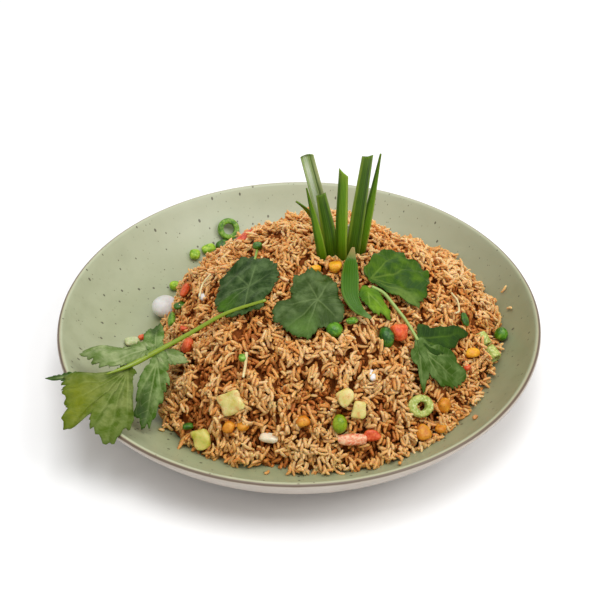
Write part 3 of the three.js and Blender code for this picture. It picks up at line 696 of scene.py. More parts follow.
STRETCHED = {
    "carrot_back": (1.2, 1.2, 1.25), "cabbage_rim": (1.15, 1.15, 0.9), "carrot_front": (1.2, 0.8, 0.8),
    "pink_flake": (1.5, 1.3, 1.1), "pea_front": (1, 1.15, 1.2), "bulb_white": (1.05, 1, 1),
    "ring_right": (1.2, 1, 0.9), "cabbage_left": (1.25, 1.05, 1.05), "cabbage_low": (1.15, 1.1, 1),
    "pea_shade": (1.1, 1.1, 1.25), "carrot_right": (1.25, 1.25, 1.2), "corn_low": (1.5, 1.4, 1.3),
    "corn_front_right": (1.25, 1.25, 1.2), "corn_right": (1.6, 1.1, 1), "cabbage_front": (1.15, 1.1, 1.1),
    "cabbage_front_right": (1.2, 1.1, 1.1), "corn_front": (1.2, 1.2, 1.2), "corn_front_left": (1.2, 1.2, 1.2),
}
for finish, (slot, edge_hold, uneven_by, nodes) in BITS.items():
    for node in nodes:
        stretch = STRETCHED.get(node, (1.05, 1.05, 1.05))
        bit = shape("cooked_" + node, *rounded(node, edge_hold, stretch, uneven_by))
        served(bit, wet[finish], slot, node)


# Leek blades
# Raw green leaves of leek, cut to length and stood in the crown of the rice. Each is a ribbed strip with a
# channel along it, green outside and paler in the channel.

BLADE_THICKNESS = 1.0
BLADE_ACROSS = 14
BLADE_ALONG = 60


def curve_points(path, count):
    """Points evenly spaced by length on a smooth curve through the path, and its direction at each."""
    path = np.array(path, float)
    padded = np.concatenate([[2 * path[0] - path[1]], path, [2 * path[-1] - path[-2]]])
    fine = []
    for a, b, c, d in zip(padded[:-3], padded[1:-2], padded[2:-1], padded[3:]):
        t = np.linspace(0, 1, 60, endpoint=False)[:, None]
        cubic = 2 * b + (c - a) * t + (2 * a - 5 * b + 4 * c - d) * t**2 + (3 * b - a - 3 * c + d) * t**3
        fine.append(0.5 * cubic)
    fine = np.concatenate(fine + [path[-1:]])
    length = np.concatenate([[0], np.cumsum(np.linalg.norm(np.diff(fine, axis=0), axis=1))])
    at = np.linspace(0, length[-1], count)
    centres = np.stack([np.interp(at, length, fine[:, k]) for k in range(3)], 1)
    ahead = np.gradient(centres, axis=0)
    return centres, ahead / np.linalg.norm(ahead, axis=1, keepdims=True)


def tube(name, rings, ends, **marks):
    """A mesh of rings of points, closed to a point at either end."""
    rows, columns = rings.shape[:2]
    points = np.concatenate([rings.reshape(-1, 3), ends])
    return shape(name, points, grid_quads(rows, columns), end_fans(rows, columns), **marks)


def blade(name, path, widths, facing, curl, slant, finish, node):
    centres, ahead = curve_points(path, BLADE_ALONG)
    t = np.linspace(0, 1, BLADE_ALONG)
    width = np.interp(t, np.linspace(0, 1, len(widths)), widths)
    turn = np.radians(facing[0] + (facing[1] - facing[0]) * t)
    aim = np.stack([np.cos(turn), np.sin(turn), np.zeros_like(t)], 1)
    across = aim - (aim * ahead).sum(1, keepdims=True) * ahead
    across /= np.linalg.norm(across, axis=1, keepdims=True)
    outward = np.cross(across, ahead)
    u = np.linspace(-1, 1, BLADE_ACROSS)
    rib = 0.07 * np.cos(u * 17)
    thin = 0.35 + 0.65 * np.sqrt(1 - 0.96 * u**2)
    sheet = centres[:, None] + across[:, None] * (u[None, :, None] * width[:, None, None] / 2)
    sheet = sheet + outward[:, None] * ((curl * (1 - u**2))[None, :, None] * width[:, None, None])
    sheet = sheet + ahead[:, None] * (slant * u[None, :, None] * (width * t**8)[:, None, None])
    half = (BLADE_THICKNESS / 2 * thin + rib)[None, :, None] * outward[:, None]
    loop = np.concatenate([sheet + half, (sheet - half)[:, ::-1]], 1)
    ends = [loop[0].mean(0), loop[-1].mean(0)]
    side = np.repeat([1, -1], BLADE_ACROSS)
    marks = {
        "across": np.concatenate([np.tile(np.concatenate([u, u[::-1]]), BLADE_ALONG), [0, 0]]),
        "along": np.concatenate([np.repeat(t, 2 * BLADE_ACROSS), [0, 1]]),
        "outer": np.concatenate([np.tile(side, BLADE_ALONG), [0, 0]]),
    }
    return served(tube(name, loop, ends, **marks), finish, "leek", node)


def leek_finish(name, outer, inner, foot, tip, streak, light_and_shade_bands=(), foot_reach=0.4):
    """Ribbed leek leaf: the dyes of its outer face, channel, foot, cut end and fine streaks, and bands of
    painted highlight and painted shade along it by their place across, half width, dye and strength."""
    finish = Finish(name, subsurface_weight=0.05, subsurface_scale=0.001, specular_ior_level=0.3)
    across, along = finish.mark("across"), finish.mark("along")
    colour = finish.mixed(finish.mark("outer").rising(-0.5, 0.5), dye(*inner), dye(*outer))
    colour = finish.mixed(finish.mottle(12).rising(0.4, 0.7) * 0.3, colour, dye(*streak))
    for place, half_width, band_dye, strength in light_and_shade_bands:
        band = abs(across - place + finish.mottle(20) * 0.3 - 0.15).rising(half_width, half_width * 0.35)
        colour = finish.mixed(band * strength, colour, dye(*band_dye))
    colour = finish.mixed(along.rising(foot_reach, 0.0) * 0.9, colour, dye(*foot))
    colour = finish.mixed(along.rising(0.88, 1.0) * 0.6, colour, dye(*tip))
    lines = finish.node("ShaderNodeMath", {"operation": "SINE"}, {0: across * 22 + finish.mottle(9) * 2})
    colour = finish.mixed(lines.rising(0.0, 1.0) * 0.35, colour, dye(*streak))
    relief = lines * 0.5 + finish.mottle(1.5) * 0.3
    gloss = 0.3 + finish.mottle(6) * 0.2
    return finish.surface(base_color=colour, roughness=gloss, normal=finish.bump(relief, 0.15))


# The pale bands are painted highlight and the dark bands painted shade along each blade.
deep = leek_finish(
    "leek_deep", (58, 94, 0), (82, 118, 12), (38, 72, 0), (92, 122, 24), (84, 116, 6),
    [(-0.9, 0.35, (136, 158, 44), 0.8), (0.45, 0.3, (34, 62, 0), 0.7), (0.92, 0.25, (124, 148, 40), 0.7)],
)
pale = leek_finish(
    "leek_pale_inside", (70, 106, 8), (156, 174, 106), (52, 88, 0), (110, 144, 28), (190, 204, 156),
    [(0.35, 0.45, (214, 222, 196), 0.9), (-0.45, 0.22, (72, 96, 20), 0.85),
     (-0.9, 0.3, (196, 200, 140), 0.8)],
)
bright = leek_finish(
    "leek_bright", (88, 132, 0), (98, 138, 4), (44, 80, 0), (134, 162, 36), (112, 144, 12),
    [(-0.75, 0.4, (44, 78, 0), 0.85), (0.85, 0.3, (148, 170, 52), 0.8)],
)
folded = leek_finish(
    "leek_folded_over", (48, 88, 2), (52, 94, 4), (200, 168, 110), (150, 178, 110), (76, 118, 20),
    [(-0.95, 0.2, (104, 138, 50), 0.6), (0.95, 0.2, (96, 132, 40), 0.6)], foot_reach=0.14,
)
milky = leek_finish(
    "leek_white", (206, 210, 178), (196, 204, 170), (180, 190, 140), (216, 214, 186), (228, 230, 206)
)

# By name: path, widths along it, facing in degrees at foot and tip, depth of channel, slant of end, finish.
BLADES = {
    "back": ([(20, 10, 68), (14.5, 11, 98), (5.6, 11.5, 139)], (8, 7.8, 7.4), (180, 180), 0.2, 0, pale),
    "front": ([(19, 4, 68), (17.5, 3.2, 92), (13, 3, 119.7)], (11, 8.5, 5.6), (0, 0), 0.2, 0.1, deep),
    "sliver": ([(15, 0, 69), (11.5, 0.5, 93), (5.2, 2.5, 124)], (6.2, 4.6, 0.9), (8, 8), 0.12, 0, bright),
    "short": (
        [(24.9, 2.2, 68), (24.6, 2.2, 100), (25.4, 2.5, 134)], (5.8, 6.8, 5.2), (-6, -6), 0.16, -0.5, bright,
    ),
    "tall": ([(29.8, 4, 69), (33.6, 3.4, 104), (38.2, 2.5, 144.5)], (8.5, 7.8, 6), (4, 4), 0.2, 0.1, deep),
    "ribbon": ([(34.2, 9, 68), (39.5, 8.5, 100), (45.6, 8, 142)], (6.8, 5, 1), (10, 10), 0.12, 0, bright),
    "pale": (
        [(25.6, 10.5, 68), (27, 11.5, 80), (28.6, 12.5, 92)], (3.6, 3.2, 1.8), (20, 20), 0.15, 0.4, milky,
    ),
    "chip": ([(9.5, 50, 71), (5, 50, 77.5), (-0.7, 50, 83)], (4.5, 3.6, 1), (150, 150), 0.1, 0, bright),
    "fold": (
        [(31, -3.4, 88), (29.6, -9, 82.5), (28.6, -22, 81), (28.6, -34, 78), (32.4, -42, 74.5),
         (39.4, -46.6, 71.6)],
        (1.6, 8, 9.8, 9.8, 7, 1.6), (0, 35), -0.08, 0, folded,
    ),
}
for which, (path, widths, facing, curl, slant, finish) in BLADES.items():
    blade("blade_" + which, path, widths, facing, curl, slant, finish, "leek_" + which)


# Parsley
# Flat parsley, raw, laid over the rice: toothed leaflets that fan out from a thin stalk, with a pale vein
# along each lobe and puckered between the veins. One sprig lies over the rim at the left.

LEAF_SPOKES = 240
LEAF_RINGS = 12
LEAF_THICKNESS = 0.5
TOOTH_START = 8  # teeth are full size from this far from the stalk

crumpled = uneven(6, 3)


def notched(edge, turn, period, depth, point):
    """The edge waved in and out by teeth. A larger point makes them sharp, a small one round."""
    step_x = np.diff(edge * np.cos(turn), append=edge[0] * math.cos(turn[0]))
    step_y = np.diff(edge * np.sin(turn), append=edge[0] * math.sin(turn[0]))
    around = np.cumsum(np.hypot(step_x, step_y))
    teeth = max(round(around[-1] / period), 3)
    wander = 0.25 * np.sin(5 * turn) + 0.2 * np.sin(11 * turn + 1)
    swing = np.abs(np.sin(math.pi * (around / around[-1] * teeth + wander)))
    size = depth * (1 + 0.4 * np.sin(7 * turn + 2)) * np.clip(edge / TOOTH_START - 0.3, 0, 1)
    return edge + size * (swing**point - 0.6)


def leaflet(name, base, outline, veins, cover, green, node, lobes=(7, 1.8, 0.7), teeth=(2.4, 0.7, 0.8),
            painted_light_shade=(0, 1), pleat=0.8, crumple=0.7):
    """A leaflet as a thin sheet round its stalk, from an outline of directions in degrees and lengths."""
    turn = turns(LEAF_SPOKES)
    directions, lengths = np.array(sorted((d % 360, length) for d, length in outline), float).T
    edge = np.interp(np.degrees(turn), directions, lengths, period=360)
    edge = notched(notched(edge, turn, *lobes), turn, *teeth)
    share = (np.arange(LEAF_RINGS) + 1)[:, None] ** 0.8 / LEAF_RINGS**0.8
    reach = share * edge
    x = base[0] + reach * np.cos(turn)
    y = base[1] + reach * np.sin(turn)
    apart = np.radians(np.array(veins, float))[:, None] - turn
    apart = np.abs(np.arctan2(np.sin(apart), np.cos(apart))).min(0)
    along = reach * np.cos(apart)
    across = reach * np.sin(np.minimum(apart, math.pi / 2))
    bulge = pleat * (1 - np.exp(-((across / 2.2) ** 2)))
    folds = crumple * crumpled(x * 1.3 + 20, y * 1.3 - 15) * np.minimum(1, reach / 10)
    pucker = 0.25 * np.cos((along - across) * 1.9) * np.clip(across / 2, 0, 1)
    clear_of_grains = laid_top(x, y) + 0.6 + 0.5 * (bulge + folds)
    z = np.maximum(cover(x, y) + bulge + folds + pucker - 0.5, clear_of_grains)
    over_lip = np.abs(np.hypot(x, y) - lip_x) < LIP_RADIUS + 3
    z = np.where(over_lip, np.maximum(z, BOWL_HEIGHT + 1.1 + 0.3 * bulge), z)
    z0 = float(cover(np.array(base[0]), np.array(base[1]))) - 0.5
    top = np.stack([x, y, z], -1).reshape(-1, 3)
    under = top - [0, 0, LEAF_THICKNESS]
    count = len(top)
    hub = 2 * count
    points = np.concatenate([top, under, [[*base, z0]], [[*base, z0 - LEAF_THICKNESS]]])
    upper = grid_quads(LEAF_RINGS, LEAF_SPOKES)[:, ::-1]
    lower = grid_quads(LEAF_RINGS, LEAF_SPOKES) + count
    spoke = np.arange(LEAF_SPOKES)
    beside = (spoke + 1) % LEAF_SPOKES
    rim = count - LEAF_SPOKES
    hem = np.stack([rim + spoke, count + rim + spoke, count + rim + beside, rim + beside], 1)
    fans = np.concatenate([
        np.stack([spoke, beside, np.full(LEAF_SPOKES, hub)], 1),
        np.stack([count + beside, count + spoke, np.full(LEAF_SPOKES, hub + 1)], 1),
    ])
    # painted_light_shade aims the patch of painted light round a direction, with a spread in degrees; with a
    # darker dye it is painted shade.
    towards, spread = painted_light_shade
    aside = np.abs(np.degrees(turn) - towards % 360)
    painted_patch = np.clip(1.5 - np.minimum(aside, 360 - aside) / spread, 0, 1) * np.clip(share * 1.6 - 0.3, 0, 1)
    marks = {"along": along, "across": across, "outwards": share + 0 * reach, "painted_light_shade": painted_patch}
    marks = {mark: np.concatenate([each.ravel(), each.ravel(), [0, 0]]) for mark, each in marks.items()}
    piece = shape(name, points, np.concatenate([upper, lower, hem]), fans, **marks)
    return served(piece, greens[green], "parsley", node)


def leaf_finish(name, body, painted_sheen, painted_light_shade, vein, edge):
    """Parsley leaf: the dyes of its body, its clouds of painted sheen, its patch of painted light (painted
    shade where this dye is darker), its veins and its edge.
    """
    finish = Finish(name, specular_ior_level=0.2)
    along, across = finish.mark("along"), finish.mark("across")
    outwards = finish.mark("outwards")
    colour = finish.mixed(finish.mottle(7).rising(0.4, 0.62), dye(*body), dye(*painted_sheen))
    colour = finish.mixed(finish.mark("painted_light_shade") * 0.85, colour, dye(*painted_light_shade))
    colour = finish.mixed(finish.mottle(2.5).rising(0.45, 0.7) * 0.35, colour, dye(*edge))
    colour = finish.mixed(outwards.rising(0.86, 1.0) * 0.5, colour, dye(*edge))
    midrib = across.rising(0.7, 0.15) * outwards.rising(0.95, 0.4)
    steps = finish.node("ShaderNodeMath", {"operation": "FRACT"}, {0: (along - across * 1.15) * 0.27})
    side_vein = abs(steps - 0.5).rising(0.07, 0.0) * 0.5
    veins = (midrib * 0.8 + side_vein).within()
    colour = finish.mixed(veins * 0.38, colour, dye(*vein))
    fine = finish.mottle(1.2) * 0.5 + veins * -0.7
    gloss = 0.42 + finish.mottle(4) * 0.25
    return finish.surface(base_color=colour, roughness=gloss, normal=finish.bump(fine, 0.3))


def over_rice(lift):
    return lambda x, y: heap_top(x, y) + lift


STEM_SIDES = 12
STEM_STATIONS = 50


def stalk(name, path, thick, thin, finish, slot, *solids, ending=1.0):
    """A round stem that tapers from the first point of its path to the last."""
    centres, ahead = curve_points(path, STEM_STATIONS)
    across = np.cross([0, 0, 1], ahead)
    across /= np.linalg.norm(across, axis=1, keepdims=True)
    upward = np.cross(ahead, across)
    radius = np.linspace(thick, thin, STEM_STATIONS) / 2
    radius = radius * np.interp(np.linspace(0, 1, STEM_STATIONS), [0, 0.82, 1], [1, 1, ending])
    turn = turns(STEM_SIDES)
    groove = 1 + 0.06 * np.cos(3 * turn)
    around = np.cos(turn)[None, :, None] * across[:, None] + np.sin(turn)[None, :, None] * upward[:, None]
    rings = centres[:, None] + radius[:, None, None] * groove[None, :, None] * around
    ends = np.stack([centres[0] - ahead[0] * 0.2, centres[-1] + ahead[-1] * 0.2])
    return served(tube(name, rings, ends), finish, slot, *solids)


def on_rice(lift, places):
    return [(x, y, max(float(heap_top(x, y)) + lift, float(laid_top(x, y)) + 1)) for x, y in places]


def stem_finish(name, deep, bright):
    finish = Finish(name, coat_weight=0.2, coat_roughness=0.25)
    colour = finish.mixed(finish.mottle(6), deep, bright)
    return finish.surface(base_color=colour, roughness=0.35, normal=finish.bump(finish.mottle(0.7), 0.1))


# Each green: body, clouds of painted sheen, the patch of painted light (painted shade in lower and hanging),
# vein and edge.
GREENS = {
    "blue": ((30, 56, 4), (76, 98, 52), (66, 104, 4), (122, 144, 88), (28, 60, 0)),
    "grey": ((50, 72, 18), (86, 106, 58), (84, 116, 44), (128, 148, 92), (42, 68, 8)),
    "rich": ((36, 70, 0), (70, 102, 0), (104, 128, 54), (126, 150, 56), (44, 80, 0)),
    "young": ((60, 98, 0), (92, 130, 8), (112, 148, 20), (150, 176, 80), (36, 70, 0)),
    "dark": ((28, 58, 0), (46, 78, 0), (58, 90, 0), (96, 126, 30), (30, 60, 0)),
    "lower": ((54, 84, 6), (100, 124, 64), (46, 80, 0), (156, 172, 108), (48, 82, 0)),
    "lime": ((74, 96, 8), (116, 128, 64), (112, 120, 0), (150, 162, 92), (66, 90, 0)),
    "pale": ((100, 122, 60), (150, 162, 112), (84, 112, 30), (182, 192, 142), (86, 112, 36)),
    "hanging": ((74, 106, 26), (134, 154, 94), (28, 54, 0), (172, 186, 124), (56, 94, 6)),
}
greens = {name: leaf_finish("parsley_" + name + "_green", *dyes) for name, dyes in GREENS.items()}
stem_green = stem_finish("stem_green", dye(104, 140, 20), dye(134, 164, 50))
stem_olive = stem_finish("stem_olive", dye(112, 136, 4), dye(140, 160, 30))
stem_pale = stem_finish("stem_pale", dye(128, 158, 66), dye(166, 184, 104))

leaflet(
    "parsley_left", (-27.5, -16.5),
    [(84, 24), (66, 21.5), (43, 19), (16, 16.5), (-18, 15.5), (-40, 16), (-58, 17), (-69, 21), (-84, 20),
     (-105, 20), (-126, 21), (-140, 18.5), (-177, 19), (164, 20.5), (154, 19), (135, 25), (126, 25.5),
     (114, 26), (103, 28)],
    [120, 75, 170, -150, -100, 20], over_rice(3.2), "blue", "leaf_left", painted_light_shade=(-150, 25), crumple=1.0,
)
stalk(
    "parsley_left_stalk", on_rice(3.4, [(-25, 1), (-24, 9), (-23.6, 17)]),
    1.6, 1.4, stem_green, "parsley", "leaf_left",
)
leaflet(
    "parsley_middle", (10.5, -35.5),
    [(125, 22.5), (110, 22.5), (94, 22), (73, 19), (50, 14), (9, 11.5), (-15, 15), (-43, 16.5),
     (-69, 15.5), (-90, 14.5), (-100, 19), (-117, 21.5), (-135, 23.5), (-149, 22.5), (-159, 25),
     (-170, 25), (177, 23), (171, 18), (161, 14.5), (151, 16.5), (134, 19)],
    [110, 60, 178, -140, -110, -40], over_rice(3.6), "grey", "leaf_middle", lobes=(6, 1.5, 0.7),
    painted_light_shade=(-118, 24),
)
leaflet(
    "parsley_right", (40.5, -17.5),
    [(91, 9), (82, 18), (72, 25.5), (61, 31), (53, 32.5), (45, 32), (40, 37.5), (32, 36.5), (28, 38),
     (21, 36.5), (11, 33), (1, 31), (-8, 28), (-17, 27.5), (-24, 25), (-29, 16), (-60, 4), (-171, 1.5)],
    [58, 33, 5, -15], over_rice(3.8), "rich", "leaf_right", lobes=(8, 1.4, 0.6), painted_light_shade=(-18, 12), crumple=1.0,
)
leaflet(
    "parsley_folded", (38.5, -28),
    [(161, 4), (59, 3), (-17, 8.5), (-32, 14), (-46, 16.5), (-61, 13.5), (-79, 11.5), (-106, 7.5)],
    [-46, -85], over_rice(3.4), "young", "leaf_folded", lobes=(5, 1, 0.7), painted_light_shade=(-50, 30),
)
stalk(
    "parsley_right_stem",
    on_rice(3.8, [(40.6, -23.8), (47, -26), (52.7, -31.2), (58.8, -37), (62.6, -42.4), (65.2, -46.6)]),
    2.2, 1.8, stem_pale, "parsley", "sprig_right",
)
leaflet(
    "parsley_right_upper", (67.5, -43.5),
    [(125, 4), (96, 7), (57, 11), (44, 22), (40, 30.5), (38, 37.5), (35, 34.5), (32, 27), (23, 22),
     (16, 16), (-5, 10.5), (-33, 6.5), (-73, 3), (159, 2)],
    [36, 10], over_rice(4.4), "dark", "sprig_right", lobes=(9, 0.5, 1), teeth=(3, 0.5, 1),
)
leaflet(
    "parsley_right_lower", (68.5, -50),
    [(101, 6.5), (53, 7.5), (38, 18), (32, 22.5), (24, 22), (16, 27), (0, 21), (-19, 15.5), (-46, 11),
     (-80, 4), (-130, 3), (160, 3)],
    [30, 5, -30], over_rice(4.1), "lower", "sprig_right", lobes=(5, 1.4, 0.7), painted_light_shade=(30, 9),
)
leaflet(
    "parsley_right_narrow", (66, -52),
    [(92, 9.5), (125, 4), (159, 3), (-130, 7), (-99, 6), (-90, 10), (-81, 14), (-67, 9), (6, 5), (40, 5),
     (76, 7)],
    [-82, 90], over_rice(4.2), "lower", "sprig_right", lobes=(5, 0.8, 0.8),
)

SPRIG_FORK = (-79, -42.4, 46)
POINTED = {"lobes": (5.5, 2.6, 1.3), "teeth": (2.6, 0.7, 1.2)}


def hanging(x, y):
    """Nearly level from the fork, but dropping where a leaflet hangs towards the front."""
    away = np.hypot(x - SPRIG_FORK[0], y - SPRIG_FORK[1])
    front = np.clip((SPRIG_FORK[1] - y) / np.maximum(away, 1), 0, 1) ** 2
    return SPRIG_FORK[2] - away * (0.1 + 0.74 * front)


def over_rim(x, y):
    """Level over the rim, with the fold between two lobes and the outer end turned down a little."""
    return 40.4 + 0 * x + 1.6 * np.sin((x - 0.55 * y) / 5.2) * np.clip((-95 - x) / 25 + (-50 - y) / 25, 0, 1)


stalk(
    "parsley_rim_stem",
    [(-17.9, -33.8, 75), (-40.5, -32, 64.5), (-61.9, -36.6, 53.5), (-80, -43, 46.4), (-93, -49, 42.6),
     (-106, -56, 42.2)],
    1.7, 3.3, stem_olive, "parsley", "sprig_left", ending=0.25,
)
leaflet(
    "parsley_rim_tip", (-95, -50.5),
    [(58, 2.5), (-180, 6.5), (-175, 13), (-172.5, 28), (-171, 34), (-168, 36), (-154, 37.5), (-143, 40.5),
     (-132, 44), (-129, 50.5), (-122, 56), (-118, 53.5), (-116.5, 42), (-114, 41), (-111, 48), (-104, 53),
     (-98, 56), (-91, 54), (-87.5, 44), (-85, 49), (-81, 42), (-79, 22), (-70, 9), (0, 3)],
    [-172, -155, -140, -124, -108, -97, -86], over_rim, "lime", "sprig_left", painted_light_shade=(-140, 22), pleat=1.5,
    crumple=0.9, **POINTED,
)
leaflet(
    "parsley_rim_curl", (-124, -56),
    [(0, 3), (60, 2.5), (120, 3), (165, 8), (180, 16), (-172, 8), (-120, 3), (-60, 3)],
    [180], over_rim, "hanging", "sprig_left", lobes=(5, 0.6, 1), painted_light_shade=(180, 60),
)
leaflet(
    "parsley_rim_upper", (-84, -38),
    [(180, 39.5), (176, 37), (173, 29.5), (168, 18), (150, 9.5), (60, 4), (0, 4), (-79, 6.5),
     (-128, 10.5), (-144, 18), (-153, 25), (-164, 31.5), (-172, 34)],
    [178, -160, 165], hanging, "pale", "sprig_left", pleat=1.2, crumple=0.9, **POINTED,
)
leaflet(
    "parsley_rim_small", (-80.5, -38),
    [(108, 18), (99, 21.5), (88, 26), (78, 17), (60, 7), (0, 4), (-90, 4), (150, 5)],
    [92], hanging, "hanging", "sprig_left", lobes=(5, 1.2, 0.8), painted_light_shade=(96, 8),
)
leaflet(
    "parsley_rim_arm", (-76, -42.4),
    [(60, 3), (-6, 12), (-13, 14.5), (-26, 12), (-57, 6), (-127, 4), (140, 3)],
    [-14], hanging, "pale", "sprig_left", lobes=(5, 1.2, 0.8),
)
leaflet(
    "parsley_rim_hanging", (-79, -46),
    [(179, 3), (60, 5), (-7, 6), (-42, 8), (-58, 12.5), (-72, 15), (-85, 18.5), (-94, 24.5), (-98, 29),
     (-111, 28.5), (-118, 26.5), (-123, 21), (-134, 15), (-142, 10.5), (-151, 5.5)],
    [-104, -80, -125], hanging, "hanging", "sprig_left", pleat=1.4, crumple=1.0, painted_light_shade=(-112, 10), **POINTED,
)


# Scraps
# Crumbs of what was cut and fried: ends of carrot, corn and leek, sprouts and split grains, half sunk in the
# rice, and a few that have rolled down on to the bowl.

SCRAP_ROWS = 16
SCRAP_SIDES = 24


def blunt(wave):
    return np.sign(wave) * np.abs(wave) ** 0.75


def scrap(name, place, size, turned_by, finish, slot):
    """A small blunt lump, its length, width and height in millimetres, turned about the upright."""
    slope = np.linspace(-math.pi / 2 * 0.98, math.pi / 2 * 0.98, SCRAP_ROWS)[:, None]
    turn = turns(SCRAP_SIDES)
    ball = np.stack([
        blunt(np.cos(slope)) * blunt(np.cos(turn)),
        blunt(np.cos(slope)) * blunt(np.sin(turn)),
        blunt(np.sin(slope)) + 0 * turn,
    ], -1)
    seed = place[0] + 2 * place[1]
    wave_x, wave_y = np.sin(3 * ball[..., 0] + seed), np.sin(4 * ball[..., 1] + 2 * seed)
    knobs = 1 + 0.1 * wave_x * wave_y * np.cos(3 * ball[..., 2])
    ball = ball * knobs[..., None] * np.array(size) / 2
    c, s = math.cos(math.radians(turned_by)), math.sin(math.radians(turned_by))
    z = float(heap_top(place[0], place[1])) + place[2]
    points = np.stack([
        place[0] + ball[..., 0] * c - ball[..., 1] * s,
        place[1] + ball[..., 0] * s + ball[..., 1] * c,
        z + ball[..., 2],
    ], -1)
    return served(tube(name, points, [points[0].mean(0), points[-1].mean(0)]), wet[finish], slot)


wet["onion_flesh"] = moist("onion_flesh", (216, 196, 160), (238, 228, 206), (214, 168, 110), mottle=4)
wet["bean_sprout"] = moist("bean_sprout", (206, 186, 128), (230, 216, 166), (206, 160, 96), mottle=4)
wet["fried_crumb"] = moist("fried_crumb", (196, 130, 66), (222, 168, 104), (160, 90, 36))

SCRAPS = [
    ("corn_second", (-31, -83.6, 1.4), (6.5, 5, 4.5), 20, "corn_sauced", "corn"),
    ("corn_peeping", (9.6, -10.5, 1.6), (7, 4, 4), 10, "corn_yellow", "corn"),
    ("corn_low_right", (77.6, -75, 1.4), (7, 6, 4), 60, "corn_sauced", "corn"),
    ("onion_flesh_front", (-17, -88.7, 1.2), (10.5, 6, 4), -12, "onion_flesh", "cabbage"),
    ("onion_flesh_right", (39.3, -66.5, 1.8), (3.6, 8, 3.6), 10, "bulb_skin", "cabbage"),
    ("onion_flesh_left", (-55.7, 1.1, 1.5), (3.4, 6, 3.4), 20, "bulb_skin", "cabbage"),
    ("carrot_crumb_right", (95.2, -36.8, 1.2), (4.5, 3.6, 3), 30, "carrot_orange", "carrot"),
    ("carrot_crumb_edge", (92, -40.5, 1), (3, 2.6, 2.4), 70, "carrot_orange", "carrot"),
    ("carrot_crumb_left", (-66.2, -11, 1.2), (5, 4, 3), 15, "carrot_orange", "carrot"),
    ("carrot_crumb_fallen", (-94.8, 15.8, 1.4), (5, 3.2, 2.8), 35, "carrot_orange", "carrot"),
    ("leek_crumb_middle", (-30.7, -58.1, 1.4), (4.6, 5, 3.4), 0, "onion_green", "green"),
    ("leek_crumb_low", (-61.9, -73.3, 1), (6, 4, 3), 10, "onion_dark", "green"),
    ("leek_crumb_bulb", (-70.5, 17.7, 1.2), (8, 5, 3), 30, "onion_dark", "green"),
    ("leek_crumb_fold", (29, -44.4, 1.6), (6.5, 4, 3), 15, "onion_green", "green"),
    ("leaf_bit_top", (-23.4, 21.5, 4), (5.6, 5.2, 3.6), 0, "onion_dark", "parsley"),
    ("crumb_right", (96.8, -70.1, 1.2), (3.4, 2.4, 2), 40, "fried_crumb", "rice"),
    ("crumb_front_right", (82.6, -72.5, 1.2), (2.8, 2.2, 1.8), 0, "fried_crumb", "rice"),
    ("crumb_front", (70, -83.4, 1.2), (3.6, 2.2, 2), 60, "fried_crumb", "rice"),
]
for name, place, size, turned_by, finish, slot in SCRAPS:
    scrap(name, place, size, turned_by, finish, slot)

SPROUTS = {
    "front": (2.2, [(-28.7, -56.5), (-29.3, -62), (-30.5, -68.7)], 1.9, 1.3),
    "right": (2.6, [(87.5, -4.5), (91, -7), (91.5, -12.5), (89, -18)], 1.3, 1.1),
    "left": (2.2, [(-50.5, 8), (-55.2, 4.8), (-57, -2.1)], 1.3, 1.1),
}
for which, (lift, places, thick, thin) in SPROUTS.items():
    stalk("sprout_" + which, on_rice(lift, places), thick, thin, wet["bean_sprout"], "cabbage")


# Floor, light and camera
# The dish stands on a plain white floor under a large soft lamp overhead, a smaller one from the right, a
# weaker one from behind and an even white surround, and is seen from the front and well above.

VIEW_HEIGHT = math.radians(38.67)  # of the line of sight over the floor
VIEW_DISTANCE = 0.85  # from the middle of the rim
VIEW_ROLL = math.radians(0.757)
LENS = 87.57
FRAME = 600  # pixels a side
RIM_MIDDLE_X = 298.7  # where the middle of the rim shows in the frame, in pixels
RIM_MIDDLE_Y = 313.96

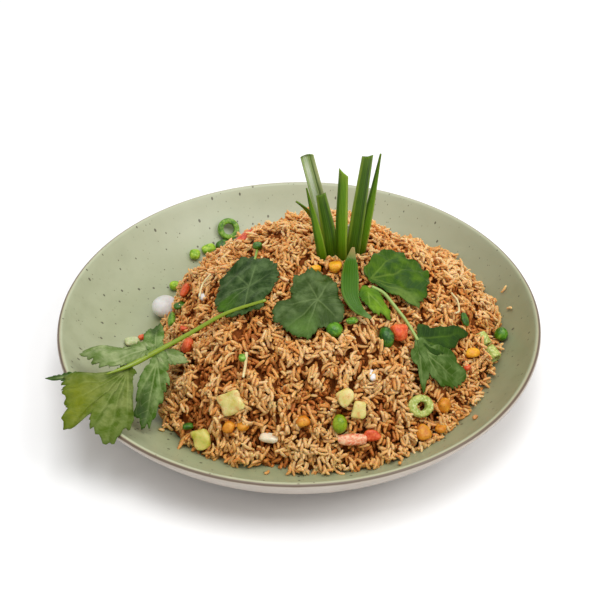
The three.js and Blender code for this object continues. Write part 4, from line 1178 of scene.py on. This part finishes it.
FLOOR_SIZE = 6
floor_mesh = bpy.data.meshes.new("floor")
half = FLOOR_SIZE / 2
floor_corners = [(-half, -half, 0), (half, -half, 0), (half, half, 0), (-half, half, 0)]
floor_mesh.from_pydata(floor_corners, [], [(0, 1, 2, 3)])
floor = bpy.data.objects.new("floor", floor_mesh)
floor.location.z = -0.0002
bpy.context.scene.collection.objects.link(floor)
white = Finish("white_floor", roughness=0.7)
white.surface(base_color=white.mixed(white.mottle(300), (0.93, 0.93, 0.93, 1), (0.95, 0.95, 0.95, 1)))
floor_mesh.materials.append(white.material)


def lamp(name, place, size, power):
    light = bpy.data.lights.new(name, "AREA")
    light.size = size
    light.energy = power
    holder = bpy.data.objects.new(name, light)
    holder.location = place
    holder.rotation_euler = (-Vector(place)).to_track_quat("-Z", "Y").to_euler()
    bpy.context.scene.collection.objects.link(holder)


lamp("key_lamp", (0.9, -0.45, 1.1), 0.6, 6.5)
lamp("top_lamp", (0.0, -0.25, 1.35), 0.8, 9.5)
lamp("back_lamp", (0.1, 1.1, 0.9), 0.8, 3.5)

surround = bpy.data.worlds.new("surround")
surround.use_nodes = True
surround.node_tree.nodes["Background"].inputs["Color"].default_value = (1, 1, 1, 1)
surround.node_tree.nodes["Background"].inputs["Strength"].default_value = 0.56
bpy.context.scene.world = surround
bpy.context.scene.view_settings.view_transform = "Standard"

camera_data = bpy.data.cameras.new("camera")
camera_data.lens = LENS
camera_data.sensor_width = 36
camera_data.shift_x = (FRAME / 2 - RIM_MIDDLE_X) / FRAME
camera_data.shift_y = (RIM_MIDDLE_Y - FRAME / 2) / FRAME
camera = bpy.data.objects.new("camera", camera_data)
sight = Vector((0, math.cos(VIEW_HEIGHT), -math.sin(VIEW_HEIGHT)))
rim_middle = Vector((0, 0, BOWL_HEIGHT / 1000))
tilted = Matrix.Rotation(math.pi / 2 - VIEW_HEIGHT, 4, "X") @ Matrix.Rotation(-VIEW_ROLL, 4, "Z")
camera.matrix_world = Matrix.Translation(rim_middle - sight * VIEW_DISTANCE) @ tilted
bpy.context.scene.collection.objects.link(camera)
bpy.context.scene.camera = camera
